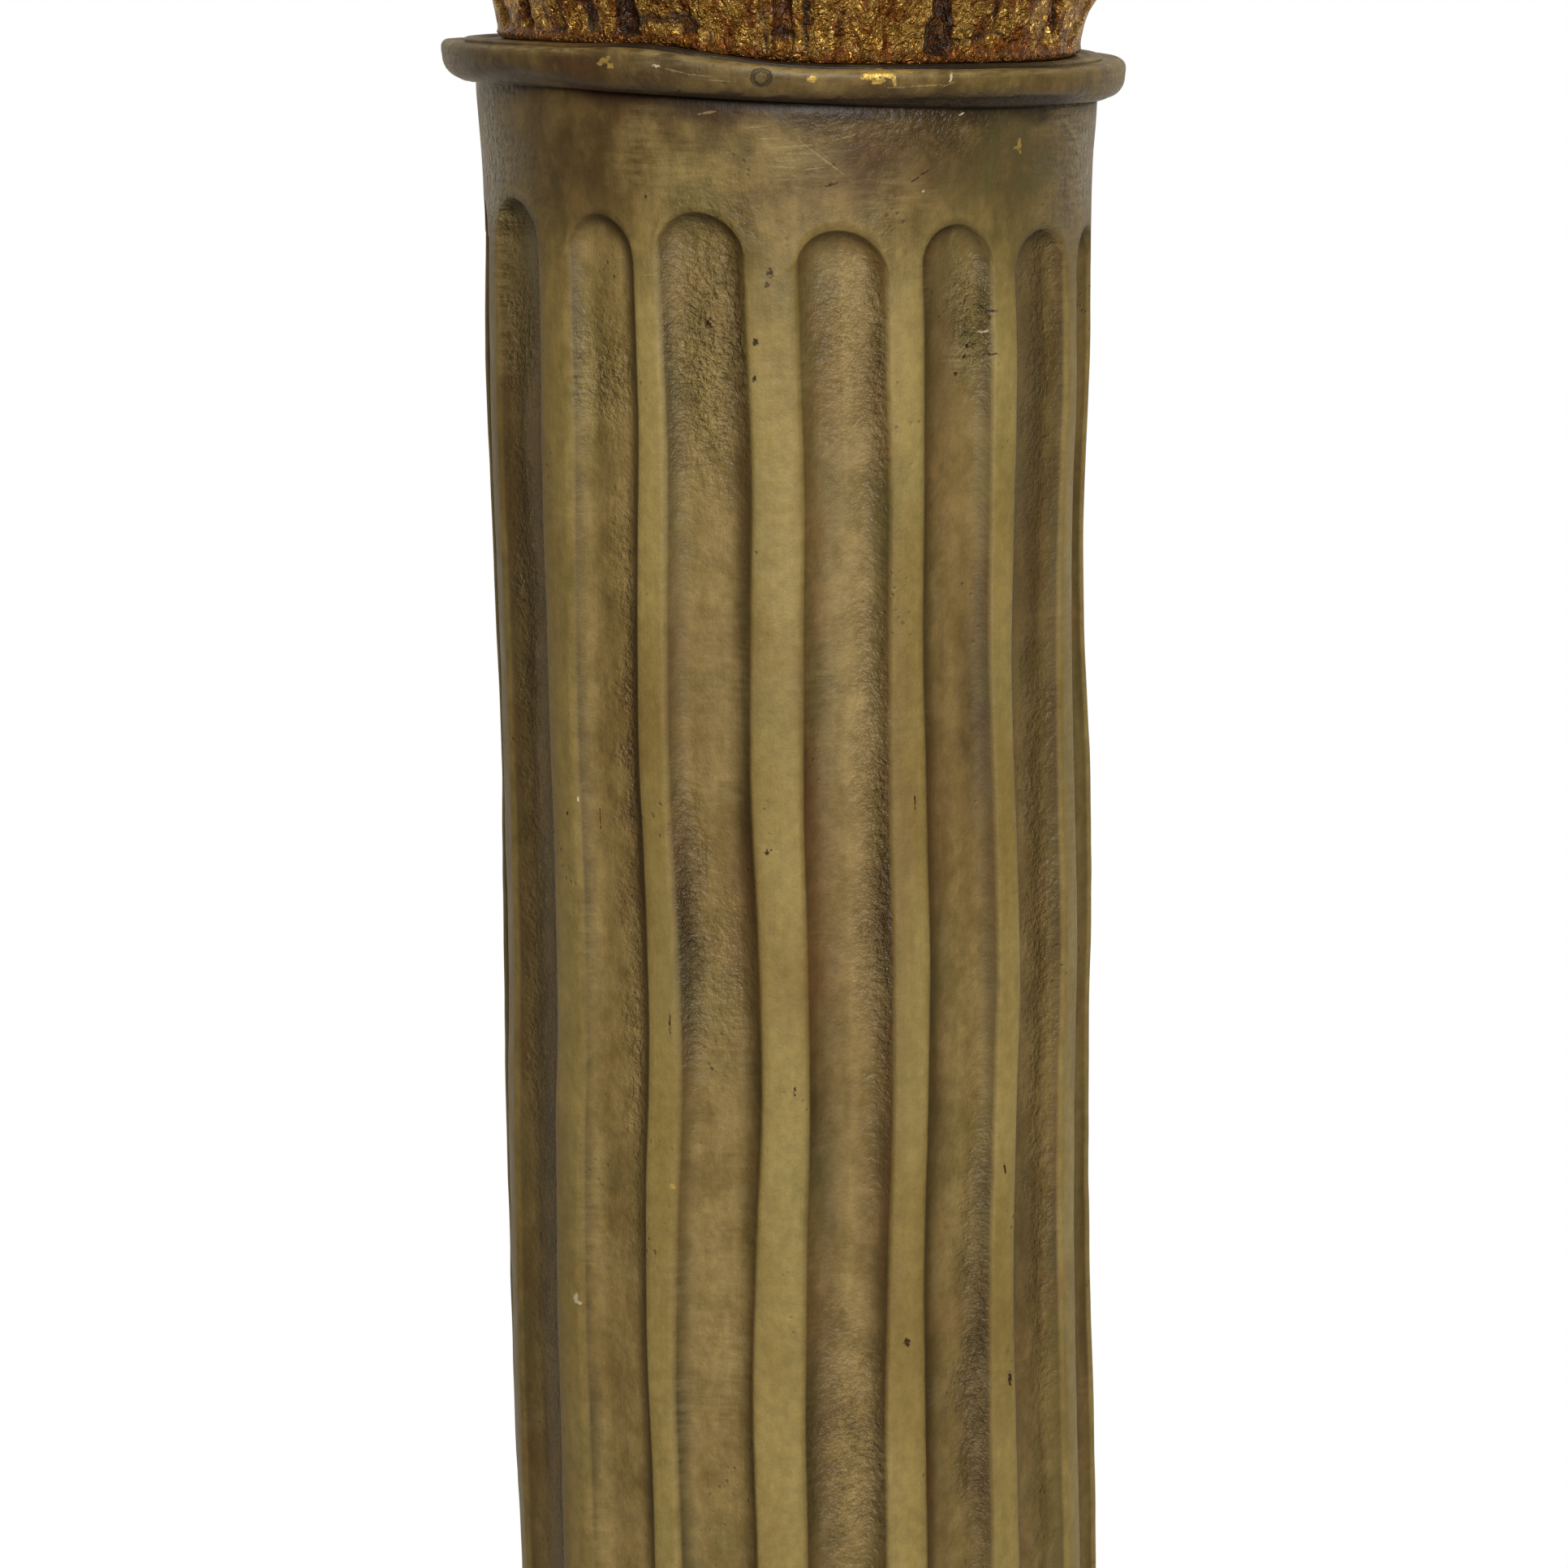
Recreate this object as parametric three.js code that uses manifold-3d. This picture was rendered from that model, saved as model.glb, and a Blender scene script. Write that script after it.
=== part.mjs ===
// A free-standing baroque column in millimetres: a square base, a fluted shaft that ends in a neck
// ring, and a gilded leaf capital. +Z is up, the column stands on z = 0 and its axis is x = y = 0.
// Angles round the axis are in degrees, from the front (-Y) towards the right-hand side (+X).
import * as THREE from 'three';
import * as BufferGeometryUtils from 'three/addons/utils/BufferGeometryUtils.js';
import Module from 'manifold-3d';

// Heights of the three pieces
const COLUMN_HEIGHT = 1100;
const BASE_HEIGHT = 120;
const RING_TOP = 900;
const PIECE_GAP = 0.3;

// Base
const PLINTH_HALF_SIDE = 119;
const PLINTH_HEIGHT = 44;
const PLINTH_EDGE = 3;
const LOWER_ROLL_RADIUS = 115;
const LOWER_ROLL_HEIGHT = 28;
const UPPER_ROLL_RADIUS = 101;
const UPPER_ROLL_HEIGHT = 17;
const HOLLOW_HEIGHT = 16;
const STEP_HEIGHT = 3;
const BASE_TOP_RADIUS = 95;
const BASE_SIDES = 28;

// Shaft
const FOOT_BAND_RADIUS = 93.5;
const FOOT_BAND_HEIGHT = 11;
const SHAFT_FOOT_RADIUS = 86.2;
const SHAFT_TOP_RADIUS = 84.1;
const NECK_RADIUS = 86;
const RING_RADIUS = 94.4;
const RING_THICKNESS = 11;

// Flutes, laid out by hand: the fillets between them are uneven and sway a little on their way down
const FLUTE_COUNT = 16;
const FLUTE_DEPTH = 4.4;
const FLUTE_FOOT = 168;
const FLUTE_HEAD = RING_TOP - 42.2;
const FLUTE_END_RISE = 11.5;
const FLUTE_COLUMNS = [-0.86, -0.38, 0.38, 0.86];
const UPPER_LEVEL = 800;
const MIDDLE_LEVEL = 640;
const LOWER_LEVEL = 500;
const BODY_LEVELS = [300, 458, 557, 604, 675, 757, 800];

// The ring dips to the right. It was set slightly askew and out of true.
const RING_DROP = 2.3;
const RING_DIP_SIDEWAYS = 4.1;
const RING_TWIST = 1.3;

// Capital
const WAIST_RADIUS = 81.5;
const WAIST_ABOVE_RING = 4.5;
const LEAF_FLARE = 0.38;
const LOWER_LEAVES = 12;
const UPPER_LEAVES = 8;
const ABACUS_HALF_SIDE = 117;
const ABACUS_BOTTOM = 1066;
const ABACUS_CORNER = 14;
const ABACUS_HOLLOW = 16;
const SCROLL_REACH = 129;
const SCROLL_HEIGHT = 1047;
const SCROLL_RADIUS = 17;
const BELL_SIDES = 32;

const wasm = await Module();
wasm.setup();

const { lerp, smoothstep } = THREE.MathUtils;
const degrees = THREE.MathUtils.radToDeg;
const sinOf = (angle) => Math.sin(THREE.MathUtils.degToRad(angle));
const cosOf = (angle) => Math.cos(THREE.MathUtils.degToRad(angle));

function polar(angle, radius, height) {
  return [radius * sinOf(angle), -radius * cosOf(angle), height];
}

function circleLoop(radius, height, sides) {
  const loop = [];
  for (let i = 0; i < sides; i++) loop.push(polar((360 * i) / sides, radius, height));
  return loop;
}

// A value that runs smoothly through a few [height, value] stops, listed from the top down
function along(stops, height) {
  if (height >= stops[0][0]) return stops[0][1];
  for (let i = 1; i < stops.length; i++) {
    const [top, above] = stops[i - 1];
    const [bottom, below] = stops[i];
    if (height >= bottom) return lerp(below, above, smoothstep(height, bottom, top));
  }
  return stops[stops.length - 1][1];
}

// Closed loops of equal length, stacked from the bottom up and closed by a fan at each end
function stackedLoops(loops) {
  const count = loops[0].length;
  const centre = (loop) => [0, 1, 2].map((axis) => loop.reduce((sum, p) => sum + p[axis], 0) / count);
  const points = [...loops.flat(), centre(loops[0]), centre(loops[loops.length - 1])];
  const bottom = points.length - 2;
  const top = points.length - 1;
  const lastLoop = (loops.length - 1) * count;
  const faces = [];
  for (let i = 0; i < count; i++) {
    const next = (i + 1) % count;
    faces.push(bottom, next, i);
    faces.push(top, lastLoop + i, lastLoop + next);
    for (let j = 0; j < lastLoop; j += count) {
      faces.push(j + i, j + next, j + count + next);
      faces.push(j + i, j + count + next, j + count + i);
    }
  }
  const geometry = new THREE.BufferGeometry();
  geometry.setAttribute('position', new THREE.Float32BufferAttribute(points.flat(), 3));
  geometry.setIndex(faces);
  return geometry;
}

// Joining closed meshes into one
function asManifold(geometry) {
  const bare = geometry.clone();
  bare.deleteAttribute('normal');
  bare.deleteAttribute('uv');
  const merged = BufferGeometryUtils.mergeVertices(bare, 1e-4);
  return new wasm.Manifold(new wasm.Mesh({
    numProp: 3,
    vertProperties: new Float32Array(merged.attributes.position.array),
    triVerts: new Uint32Array(merged.index.array),
  }));
}

function join(geometries) {
  const whole = geometries.map(asManifold).reduce((sum, piece) => sum.add(piece));
  const mesh = whole.getMesh();
  const geometry = new THREE.BufferGeometry();
  geometry.setAttribute('position', new THREE.Float32BufferAttribute(mesh.vertProperties, 3));
  geometry.setIndex([...mesh.triVerts]);
  return geometry;
}

// Base: a square plinth under two rolls with a hollow between them, cast in one

function squareLoop(half, height) {
  return [[-half, -half, height], [half, -half, height], [half, half, height], [-half, half, height]];
}

function plinth() {
  return stackedLoops([
    squareLoop(PLINTH_HALF_SIDE - 1, 0),
    squareLoop(PLINTH_HALF_SIDE, 1),
    squareLoop(PLINTH_HALF_SIDE, PLINTH_HEIGHT - PLINTH_EDGE),
    squareLoop(PLINTH_HALF_SIDE - PLINTH_EDGE, PLINTH_HEIGHT),
  ]);
}

// Points of a half-round roll, given its outer radius and its lower and upper height
function roll(radius, bottom, top, steps) {
  const half = (top - bottom) / 2;
  const points = [];
  for (let i = 0; i <= steps; i++) {
    const turn = -90 + (180 * i) / steps;
    points.push([radius - half + half * cosOf(turn), bottom + half + half * sinOf(turn)]);
  }
  return points;
}

function baseMouldings() {
  const hollowBottom = PLINTH_HEIGHT + LOWER_ROLL_HEIGHT + STEP_HEIGHT;
  const hollowTop = hollowBottom + HOLLOW_HEIGHT;
  const upperBottom = hollowTop + STEP_HEIGHT;
  const profile = [
    ...roll(LOWER_ROLL_RADIUS, PLINTH_HEIGHT, PLINTH_HEIGHT + LOWER_ROLL_HEIGHT, 4),
    [LOWER_ROLL_RADIUS - 11, hollowBottom],
    [BASE_TOP_RADIUS - 2, hollowBottom + 7],
    [BASE_TOP_RADIUS, hollowTop],
    ...roll(UPPER_ROLL_RADIUS, upperBottom, upperBottom + UPPER_ROLL_HEIGHT, 4),
    [BASE_TOP_RADIUS, BASE_HEIGHT],
  ];
  // The lowest loop is sunk into the plinth, so that the two join
  profile[0][1] -= 1;
  return stackedLoops(profile.map(([radius, height]) => circleLoop(radius, height, BASE_SIDES)));
}

// Shaft: flutes and fillets

// Each fillet's centre and width in degrees, at the upper, middle and lower level
function filletLayout() {
  const seen = [
    { centre: [-73.5, -73.5, -73.5], width: [6.5, 6.5, 6.5] },
    { centre: [-48.5, -49.0, -48.8], width: [8.0, 7.3, 7.9] },
    { centre: [-26.4, -26.4, -25.8], width: [5.8, 6.8, 6.0] },
    { centre: [-2.5, -2.6, -2.6], width: [9.8, 9.2, 9.8] },
    { centre: [21.8, 21.5, 21.2], width: [6.4, 6.4, 7.2] },
    { centre: [43.9, 43.9, 43.8], width: [6.4, 5.9, 7.2] },
    { centre: [66.0, 63.4, 65.8], width: [7.0, 9.8, 8.0] },
  ];
  const last = seen[seen.length - 1].centre[0];
  const first = seen[0].centre[0] + 360;
  const hidden = FLUTE_COUNT - seen.length;
  const fillets = [...seen];
  for (let i = 1; i <= hidden; i++) {
    const centre = lerp(last, first, i / (hidden + 1)) + 0.7 * sinOf(137 * i);
    const width = 7 + sinOf(211 * i);
    fillets.push({ centre: [centre, centre, centre], width: [width, width + 0.6, width] });
  }
  return fillets;
}

const FILLETS = filletLayout();

// The twist that all flutes share, in degrees
function twist(height) {
  const ripple = 0.42 * cosOf((360 * (height - UPPER_LEVEL)) / 160) * smoothstep(height, 380, 480);
  const lean = -2.1 * (1 - smoothstep(height, 480, 650)) * smoothstep(height, 200, 480);
  return ripple + lean;
}

function atLevels(values, height) {
  const levels = [UPPER_LEVEL, MIDDLE_LEVEL, LOWER_LEVEL];
  return along(levels.map((level, i) => [level, values[i]]), height);
}

// The angle of a fillet's left (-1) or right (+1) edge
function filletEdge(index, side, height) {
  const { centre, width } = FILLETS[index];
  const sway = 0.25 * sinOf(2.1 * height + 97 * index + 40 * side);
  return atLevels(centre, height) + (side * atLevels(width, height)) / 2 + sway + twist(height);
}

// How far each side stands out of true, in [height, millimetres] stops
const LEFT_SWAY = [[854, -0.2], [793, 0.4], [712, -0.9], [557, 0.85], [458, 0]];
const RIGHT_SWAY = [
  [866, 0.3], [838, -0.4], [815, -0.3], [757, -2.0], [675, -0.35], [604, -1.5], [457, 0.1],
];

function shaftRadius(angle, height) {
  const taper = lerp(SHAFT_TOP_RADIUS, SHAFT_FOOT_RADIUS, smoothstep(470 - height, 0, 280));
  const flare = smoothstep(height, FLUTE_HEAD - 6, RING_TOP - RING_THICKNESS) ** 1.3;
  const neck = (NECK_RADIUS - SHAFT_TOP_RADIUS) * flare;
  const side = sinOf(angle);
  const sway = side < 0 ? along(LEFT_SWAY, height) : along(RIGHT_SWAY, height);
  const rear = 0.5 * Math.max(0, -cosOf(angle)) * sinOf(1.7 * height + 2 * angle);
  return taper + neck + sway * side * side + rear * smoothstep(height, 140, 200);
}

// The height that the ring and the flute heads gain or lose round the shaft
function ringLift(angle) {
  const sideways = RING_DIP_SIDEWAYS * sinOf(angle);
  const twist = RING_TWIST * sinOf(2 * angle) * (1 + cosOf(angle)) / 2;
  return -RING_DROP - sideways - twist;
}

// Every flute's own head starts a little higher or lower than its neighbours'
const HEAD_OFFSETS = [0.5, -1.3, 1.35, -0.9, 1.6, -0.7, -2.1];

function fluteHead(index, angle, across) {
  const own = HEAD_OFFSETS[index] ?? 1.5 * sinOf(83 * index);
  const round = FLUTE_END_RISE * (1 - Math.sqrt(1 - across * across));
  return FLUTE_HEAD + own + ringLift(angle) - round;
}

function fluteFoot(index, across) {
  return FLUTE_FOOT + sinOf(71 * index) + FLUTE_END_RISE * (1 - Math.sqrt(1 - across * across));
}

// The columns of the shaft's grid: each fillet's two edges, then the flute on its right
function shaftColumns() {
  const columns = [];
  for (let index = 0; index < FLUTE_COUNT; index++) {
    const before = (index + FLUTE_COUNT - 1) % FLUTE_COUNT;
    const after = (index + 1) % FLUTE_COUNT;
    const wrap = after === 0 ? 360 : 0;
    columns.push({ flute: before, across: 1, angle: (height) => filletEdge(index, -1, height) });
    columns.push({ flute: index, across: -1, angle: (height) => filletEdge(index, 1, height) });
    for (const across of FLUTE_COLUMNS) {
      const angle = (height) => lerp(
        filletEdge(index, 1, height), filletEdge(after, -1, height) + wrap, (across + 1) / 2);
      columns.push({ flute: index, across, angle });
    }
  }
  return columns;
}

function fluteDepth(across) {
  return FLUTE_DEPTH * (1 - Math.abs(across) ** 3.2) ** 0.7;
}

// Rows of the shaft's grid, from the bottom up. Each gives a point for a column.
function shaftRows() {
  const rows = [];
  const bottom = BASE_HEIGHT + PIECE_GAP;
  const bandTop = BASE_HEIGHT + FOOT_BAND_HEIGHT;
  const footProfile = [
    [FOOT_BAND_RADIUS, bottom],
    [FOOT_BAND_RADIUS, bandTop],
    [FOOT_BAND_RADIUS - 4, bandTop + 3],
    [SHAFT_FOOT_RADIUS + 0.6, bandTop + 12],
  ];
  for (const [radius, height] of footProfile) {
    rows.push((column) => polar(column.angle(height), radius, height));
  }
  const fluted = (heightOf, share) => (column) => {
    const height = heightOf(column);
    const angle = column.angle(height);
    const radius = shaftRadius(angle, height) - share * fluteDepth(column.across);
    return polar(angle, radius, height);
  };
  const foot = (above) => (column) => fluteFoot(column.flute, column.across) + above;
  const head = (below) => (column) => {
    const angle = column.angle(FLUTE_HEAD);
    return fluteHead(column.flute, angle, column.across) - below;
  };
  rows.push(fluted(foot(0), 0), fluted(foot(2), 0.6), fluted(foot(6), 1));
  for (const height of BODY_LEVELS) rows.push(fluted(() => height, 1));
  rows.push(fluted(head(6), 1), fluted(head(2), 0.6), fluted(head(0), 0));
  const midNeck = (column) => lerp(FLUTE_HEAD, RING_TOP, 0.3) + ringLift(column.angle(FLUTE_HEAD));
  rows.push(fluted(midNeck, 0));
  return rows;
}

// The neck ring's section as [radius, height over its underside]: a sharp undercut below, a large
// quarter round, and a flat top with a small rounded corner
function ringRows() {
  const section = [
    [NECK_RADIUS - 1, 0],
    [RING_RADIUS - 5.5, 0.2],
    [RING_RADIUS - 1.5, 2.6],
    [RING_RADIUS, 8],
    [RING_RADIUS - 1, RING_THICKNESS - 0.4],
    [RING_RADIUS - 3.3, RING_THICKNESS],
  ];
  return section.map(([radius, above]) => (column) => {
    const angle = column.angle(FLUTE_HEAD);
    const height = RING_TOP - RING_THICKNESS + above + (ringLift(angle) * radius) / RING_RADIUS;
    return polar(angle, radius, height);
  });
}

function shaft() {
  const columns = shaftColumns();
  const rows = [...shaftRows(), ...ringRows()];
  return stackedLoops(rows.map((row) => columns.map((column) => row(column))));
}

// Capital

function capitalBell() {
  const section = [
    [WAIST_RADIUS + 0.5, PIECE_GAP],
    [WAIST_RADIUS + 1.8, 2],
    [WAIST_RADIUS, WAIST_ABOVE_RING],
    [WAIST_RADIUS - 1.5, 12],
    [WAIST_RADIUS + 2, 95],
    [WAIST_RADIUS + 19, ABACUS_BOTTOM - RING_TOP + 2],
  ];
  return stackedLoops(section.map(([radius, above]) => {
    const share = 1 - smoothstep(above, 4, 40);
    const loop = [];
    for (let i = 0; i < BELL_SIDES; i++) {
      const angle = (360 * i) / BELL_SIDES;
      const lift = (share * ringLift(angle) * radius) / RING_RADIUS;
      loop.push(polar(angle, radius, RING_TOP + above + lift));
    }
    return loop;
  }));
}

// A leaf that rises from the bell and curls over outwards. Its spine is a list of [radius, height]
// stops, its widths are half widths and its depths are the thickness of its keel at those stops, and
// its face has a hollow midrib and a fold on each side.
function leaf({ angle, spine, widths, depths, relief, lift }) {
  const across = [-1, -0.5, 0, 0.5, 1];
  const folds = [0.2, 1, 0.45, 1, 0.2];
  const loops = spine.map(([radius, height], i) => {
    const [r0, h0] = spine[Math.max(0, i - 1)];
    const [r1, h1] = spine[Math.min(spine.length - 1, i + 1)];
    const length = Math.hypot(r1 - r0, h1 - h0);
    const outward = (h1 - h0) / length;
    const upward = -(r1 - r0) / length;
    const place = (u, offset) => {
      const r = radius + outward * offset;
      const z = height + upward * offset;
      return polar(angle + degrees((u * widths[i]) / radius), r, z + lift(angle, z));
    };
    return [...across.map((u, k) => place(u, relief * folds[k])), place(0, -depths[i])];
  });
  return stackedLoops(loops);
}

// The capital's foot follows the ring, and the lift dies out upwards
function footLift(angle, height) {
  return ringLift(angle) * (WAIST_RADIUS / RING_RADIUS) * (1 - smoothstep(height - RING_TOP, 4, 40));
}

function lowerLeaves() {
  const leaves = [];
  const flared = (above) => WAIST_RADIUS - 1 + LEAF_FLARE * (above - WAIST_ABOVE_RING);
  for (let i = 0; i < LOWER_LEAVES; i++) {
    const tip = 56 + 2 * sinOf(97 * i);
    leaves.push(leaf({
      angle: (360 * (i + 0.5)) / LOWER_LEAVES,
      spine: [
        [flared(WAIST_ABOVE_RING - 1), RING_TOP + WAIST_ABOVE_RING - 1],
        [flared(38), RING_TOP + 38],
        [flared(50) + 2.5, RING_TOP + tip - 5],
        [flared(56) + 8, RING_TOP + tip],
        [flared(56) + 12.5, RING_TOP + tip - 5],
      ],
      widths: [18.5, 21.5, 18, 13, 6],
      depths: [5, 12, 8, 6, 4.5],
      relief: 2.2,
      lift: footLift,
    }));
  }
  return leaves;
}

function upperLeaves() {
  const leaves = [];
  for (let i = 0; i < UPPER_LEAVES; i++) {
    leaves.push(leaf({
      angle: (360 * i) / UPPER_LEAVES,
      spine: [
        [WAIST_RADIUS + 4, RING_TOP + 30],
        [WAIST_RADIUS + 10, RING_TOP + 92],
        [WAIST_RADIUS + 16, RING_TOP + 110],
        [WAIST_RADIUS + 25, RING_TOP + 116],
        [WAIST_RADIUS + 32, RING_TOP + 109],
      ],
      widths: [21, 26, 22, 16, 8],
      depths: [8, 13, 10, 7, 5],
      relief: 2.6,
      lift: () => 0,
    }));
  }
  return leaves;
}

// A corner scroll: a stalk that leaves the bell and winds inwards, with a web behind it. The
// outlines are drawn in the plane of the corner, radius across and height up.
function scrollBand() {
  const centres = [];
  const stalkStart = [WAIST_RADIUS + 6, RING_TOP + 88];
  const turns = 1.25;
  const steps = 12;
  for (let i = 0; i < 3; i++) {
    const t = i / 3;
    const reach = SCROLL_REACH - SCROLL_RADIUS * 0.82;
    centres.push([
      lerp(stalkStart[0], reach, t ** 1.4), lerp(stalkStart[1], SCROLL_HEIGHT + 8, t ** 0.85), 4.2,
    ]);
  }
  for (let i = 0; i <= steps; i++) {
    const turn = 145 - (360 * turns * i) / steps;
    const radius = lerp(SCROLL_RADIUS - 3, 4.5, i / steps);
    centres.push([
      SCROLL_REACH + radius * cosOf(turn), SCROLL_HEIGHT + radius * sinOf(turn), lerp(3.2, 2, i / steps),
    ]);
  }
  const left = [];
  const right = [];
  centres.forEach(([x, y, half], i) => {
    const [x0, y0] = centres[Math.max(0, i - 1)];
    const [x1, y1] = centres[Math.min(centres.length - 1, i + 1)];
    const length = Math.hypot(x1 - x0, y1 - y0);
    const across = [-(y1 - y0) / length, (x1 - x0) / length];
    left.push(new THREE.Vector2(x + across[0] * half, y + across[1] * half));
    right.unshift(new THREE.Vector2(x - across[0] * half, y - across[1] * half));
  });
  return new THREE.Shape([...left, ...right]);
}

function scrollWeb() {
  const web = new THREE.Shape();
  web.moveTo(WAIST_RADIUS - 10, RING_TOP + 88);
  web.lineTo(WAIST_RADIUS + 8, RING_TOP + 92);
  web.lineTo(SCROLL_REACH - SCROLL_RADIUS, SCROLL_HEIGHT - 3);
  const steps = 7;
  for (let i = 0; i <= steps; i++) {
    const turn = 190 + (250 * i) / steps;
    const radius = SCROLL_RADIUS - 2.5;
    web.lineTo(SCROLL_REACH + radius * cosOf(turn), SCROLL_HEIGHT + radius * sinOf(turn));
  }
  web.lineTo(SCROLL_REACH + 6, ABACUS_BOTTOM + 3);
  web.lineTo(WAIST_RADIUS - 10, ABACUS_BOTTOM + 3);
  return web;
}

function cornerScroll(angle) {
  const plates = [[scrollBand(), 21], [scrollWeb(), 13]];
  return plates.map(([shape, thickness]) => {
    const geometry = new THREE.ExtrudeGeometry(shape, { depth: thickness, bevelEnabled: false });
    geometry.translate(0, 0, -thickness / 2);
    geometry.rotateX(Math.PI / 2);
    geometry.rotateZ(THREE.MathUtils.degToRad(angle - 90));
    return geometry;
  });
}

// The abacus has hollow sides and cut corners, drawn here with a margin taken off all round
function abacusLoop(margin, height) {
  const steps = 5;
  const half = ABACUS_HALF_SIDE - margin;
  const reach = ABACUS_HALF_SIDE - ABACUS_CORNER - margin * 0.4;
  const loop = [];
  for (let side = 0; side < 4; side++) {
    for (let i = 0; i <= steps; i++) {
      const x = lerp(-reach, reach, i / steps);
      const depth = half - ABACUS_HOLLOW * (1 - (x / reach) ** 2);
      const turn = 90 * side;
      loop.push([x * cosOf(turn) + depth * sinOf(turn), x * sinOf(turn) - depth * cosOf(turn), height]);
    }
  }
  return loop;
}

function abacus() {
  return stackedLoops([
    abacusLoop(8, ABACUS_BOTTOM),
    abacusLoop(7, ABACUS_BOTTOM + 7),
    abacusLoop(0, ABACUS_BOTTOM + 14),
    abacusLoop(0, COLUMN_HEIGHT),
  ]);
}

// A small flower in the middle of each side of the abacus
function flower(angle) {
  const petals = 5;
  const sides = petals * 2;
  const depth = ABACUS_HALF_SIDE - ABACUS_HOLLOW;
  const section = [[14, -8], [14, 2], [6, 7]];
  const middle = ABACUS_BOTTOM + 16;
  return stackedLoops(section.map(([radius, out]) => {
    const loop = [];
    for (let i = 0; i < sides; i++) {
      const turn = (360 * i) / sides;
      const reach = radius * (i % 2 ? 0.82 : 1);
      const x = reach * cosOf(turn);
      const y = -depth - out;
      const z = middle + reach * sinOf(turn);
      loop.push([x * cosOf(angle) - y * sinOf(angle), x * sinOf(angle) + y * cosOf(angle), z]);
    }
    return loop;
  }));
}

function capital() {
  const corners = [45, 135, 225, 315];
  const sides = [0, 90, 180, 270];
  return join([
    capitalBell(),
    ...lowerLeaves(),
    ...upperLeaves(),
    ...corners.flatMap(cornerScroll),
    abacus(),
    ...sides.map(flower),
  ]);
}

// The whole column
const patina = { color: 0x8f7a47, roughness: 0.5, metalness: 0 };
const gilding = { color: 0xa8762e, roughness: 0.35, metalness: 0.85 };

function piece(name, geometry, look) {
  const mesh = new THREE.Mesh(geometry, new THREE.MeshStandardMaterial(look));
  mesh.name = name;
  mesh.geometry.computeVertexNormals();
  return mesh;
}

const column = new THREE.Group();
column.add(piece('base', join([plinth(), baseMouldings()]), patina));
column.add(piece('shaft', shaft(), patina));
column.add(piece('capital', capital(), gilding));

export default column;
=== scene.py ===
"""The looks of a baroque column: a hand-modelled fluted shaft with a worn olive-brown patina, its neck
ring and square base, and a gilded leaf capital. Shapes are in millimetres, and become metres in mesh().
Angles round the axis are in degrees, from the front (-Y) towards the right-hand side (+X)."""
import math

import bmesh
import bpy
import numpy as np
from mathutils import Matrix, Vector
from mathutils.bvhtree import BVHTree


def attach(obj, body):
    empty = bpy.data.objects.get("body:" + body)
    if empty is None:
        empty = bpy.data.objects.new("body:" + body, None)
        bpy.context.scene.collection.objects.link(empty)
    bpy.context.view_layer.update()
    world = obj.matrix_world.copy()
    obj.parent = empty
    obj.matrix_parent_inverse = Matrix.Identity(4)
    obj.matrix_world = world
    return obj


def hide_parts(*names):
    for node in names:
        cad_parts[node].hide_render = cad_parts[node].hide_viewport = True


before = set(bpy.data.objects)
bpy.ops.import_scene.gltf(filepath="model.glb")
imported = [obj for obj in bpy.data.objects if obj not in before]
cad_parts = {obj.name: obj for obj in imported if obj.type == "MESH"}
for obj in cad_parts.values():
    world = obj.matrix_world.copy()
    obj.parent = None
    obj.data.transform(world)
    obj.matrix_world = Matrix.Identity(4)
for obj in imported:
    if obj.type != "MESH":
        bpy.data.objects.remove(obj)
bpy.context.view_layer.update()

MM = 0.001

# Heights of the three pieces
COLUMN_HEIGHT = 1100
BASE_HEIGHT = 120
RING_TOP = 900
PIECE_GAP = 0.3

# Base
PLINTH_HALF_SIDE = 119
PLINTH_HEIGHT = 44
LOWER_ROLL_RADIUS = 115
LOWER_ROLL_HEIGHT = 28
UPPER_ROLL_RADIUS = 101
UPPER_ROLL_HEIGHT = 17
HOLLOW_HEIGHT = 16
STEP_HEIGHT = 3
BASE_TOP_RADIUS = 95

# Shaft
FOOT_BAND_RADIUS = 93.5
FOOT_BAND_HEIGHT = 11
SHAFT_FOOT_RADIUS = 86.2
SHAFT_TOP_RADIUS = 84.1
NECK_RADIUS = 86
RING_RADIUS = 94.4
RING_THICKNESS = 11
PAINTED_ROLL_RADIUS = 86
FLUTE_COUNT = 16
FLUTE_DEPTH = 4.4
FLUTE_FOOT = 168
FLUTE_HEAD = RING_TOP - 42.2
FLUTE_END_RISE = 11.5
FLUTE_HOLLOWING = 7

# Levels at which the places and widths of the fillets are given
UPPER_LEVEL = 800
MIDDLE_LEVEL = 640
LOWER_LEVEL = 500

# Rows of the shaft's mesh lie closer together above this height, where the photo shows the shaft
VIEW_BOTTOM = 470
FINE_ROW = 3.1
COARSE_ROW = 11

# The ring dips to the right
RING_DROP = 2.3
RING_DIP_SIDEWAYS = 4.1
RING_TWIST = 1.3

# Capital
WAIST_RADIUS = 81.5
LEAF_FLARE = 0.38
LOWER_LEAVES = 12
UPPER_LEAVES = 8
ABACUS_HALF_SIDE = 117
ABACUS_BOTTOM = 1066
ABACUS_CORNER = 14
ABACUS_HOLLOW = 16
SCROLL_REACH = 129
SCROLL_HEIGHT = 1047
SCROLL_RADIUS = 17


# Small numeric helpers

def sin_of(angle):
    return np.sin(np.radians(angle))


def cos_of(angle):
    return np.cos(np.radians(angle))


def turned_to_front(angle):
    """The same angle between -180 and 180, so that 0 is the front."""
    return (angle + 180) % 360 - 180


def lerp(a, b, t):
    return a + (b - a) * t


def smoothstep(x, low, high):
    t = np.clip((x - low) / (high - low), 0, 1)
    return t * t * (3 - 2 * t)


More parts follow.
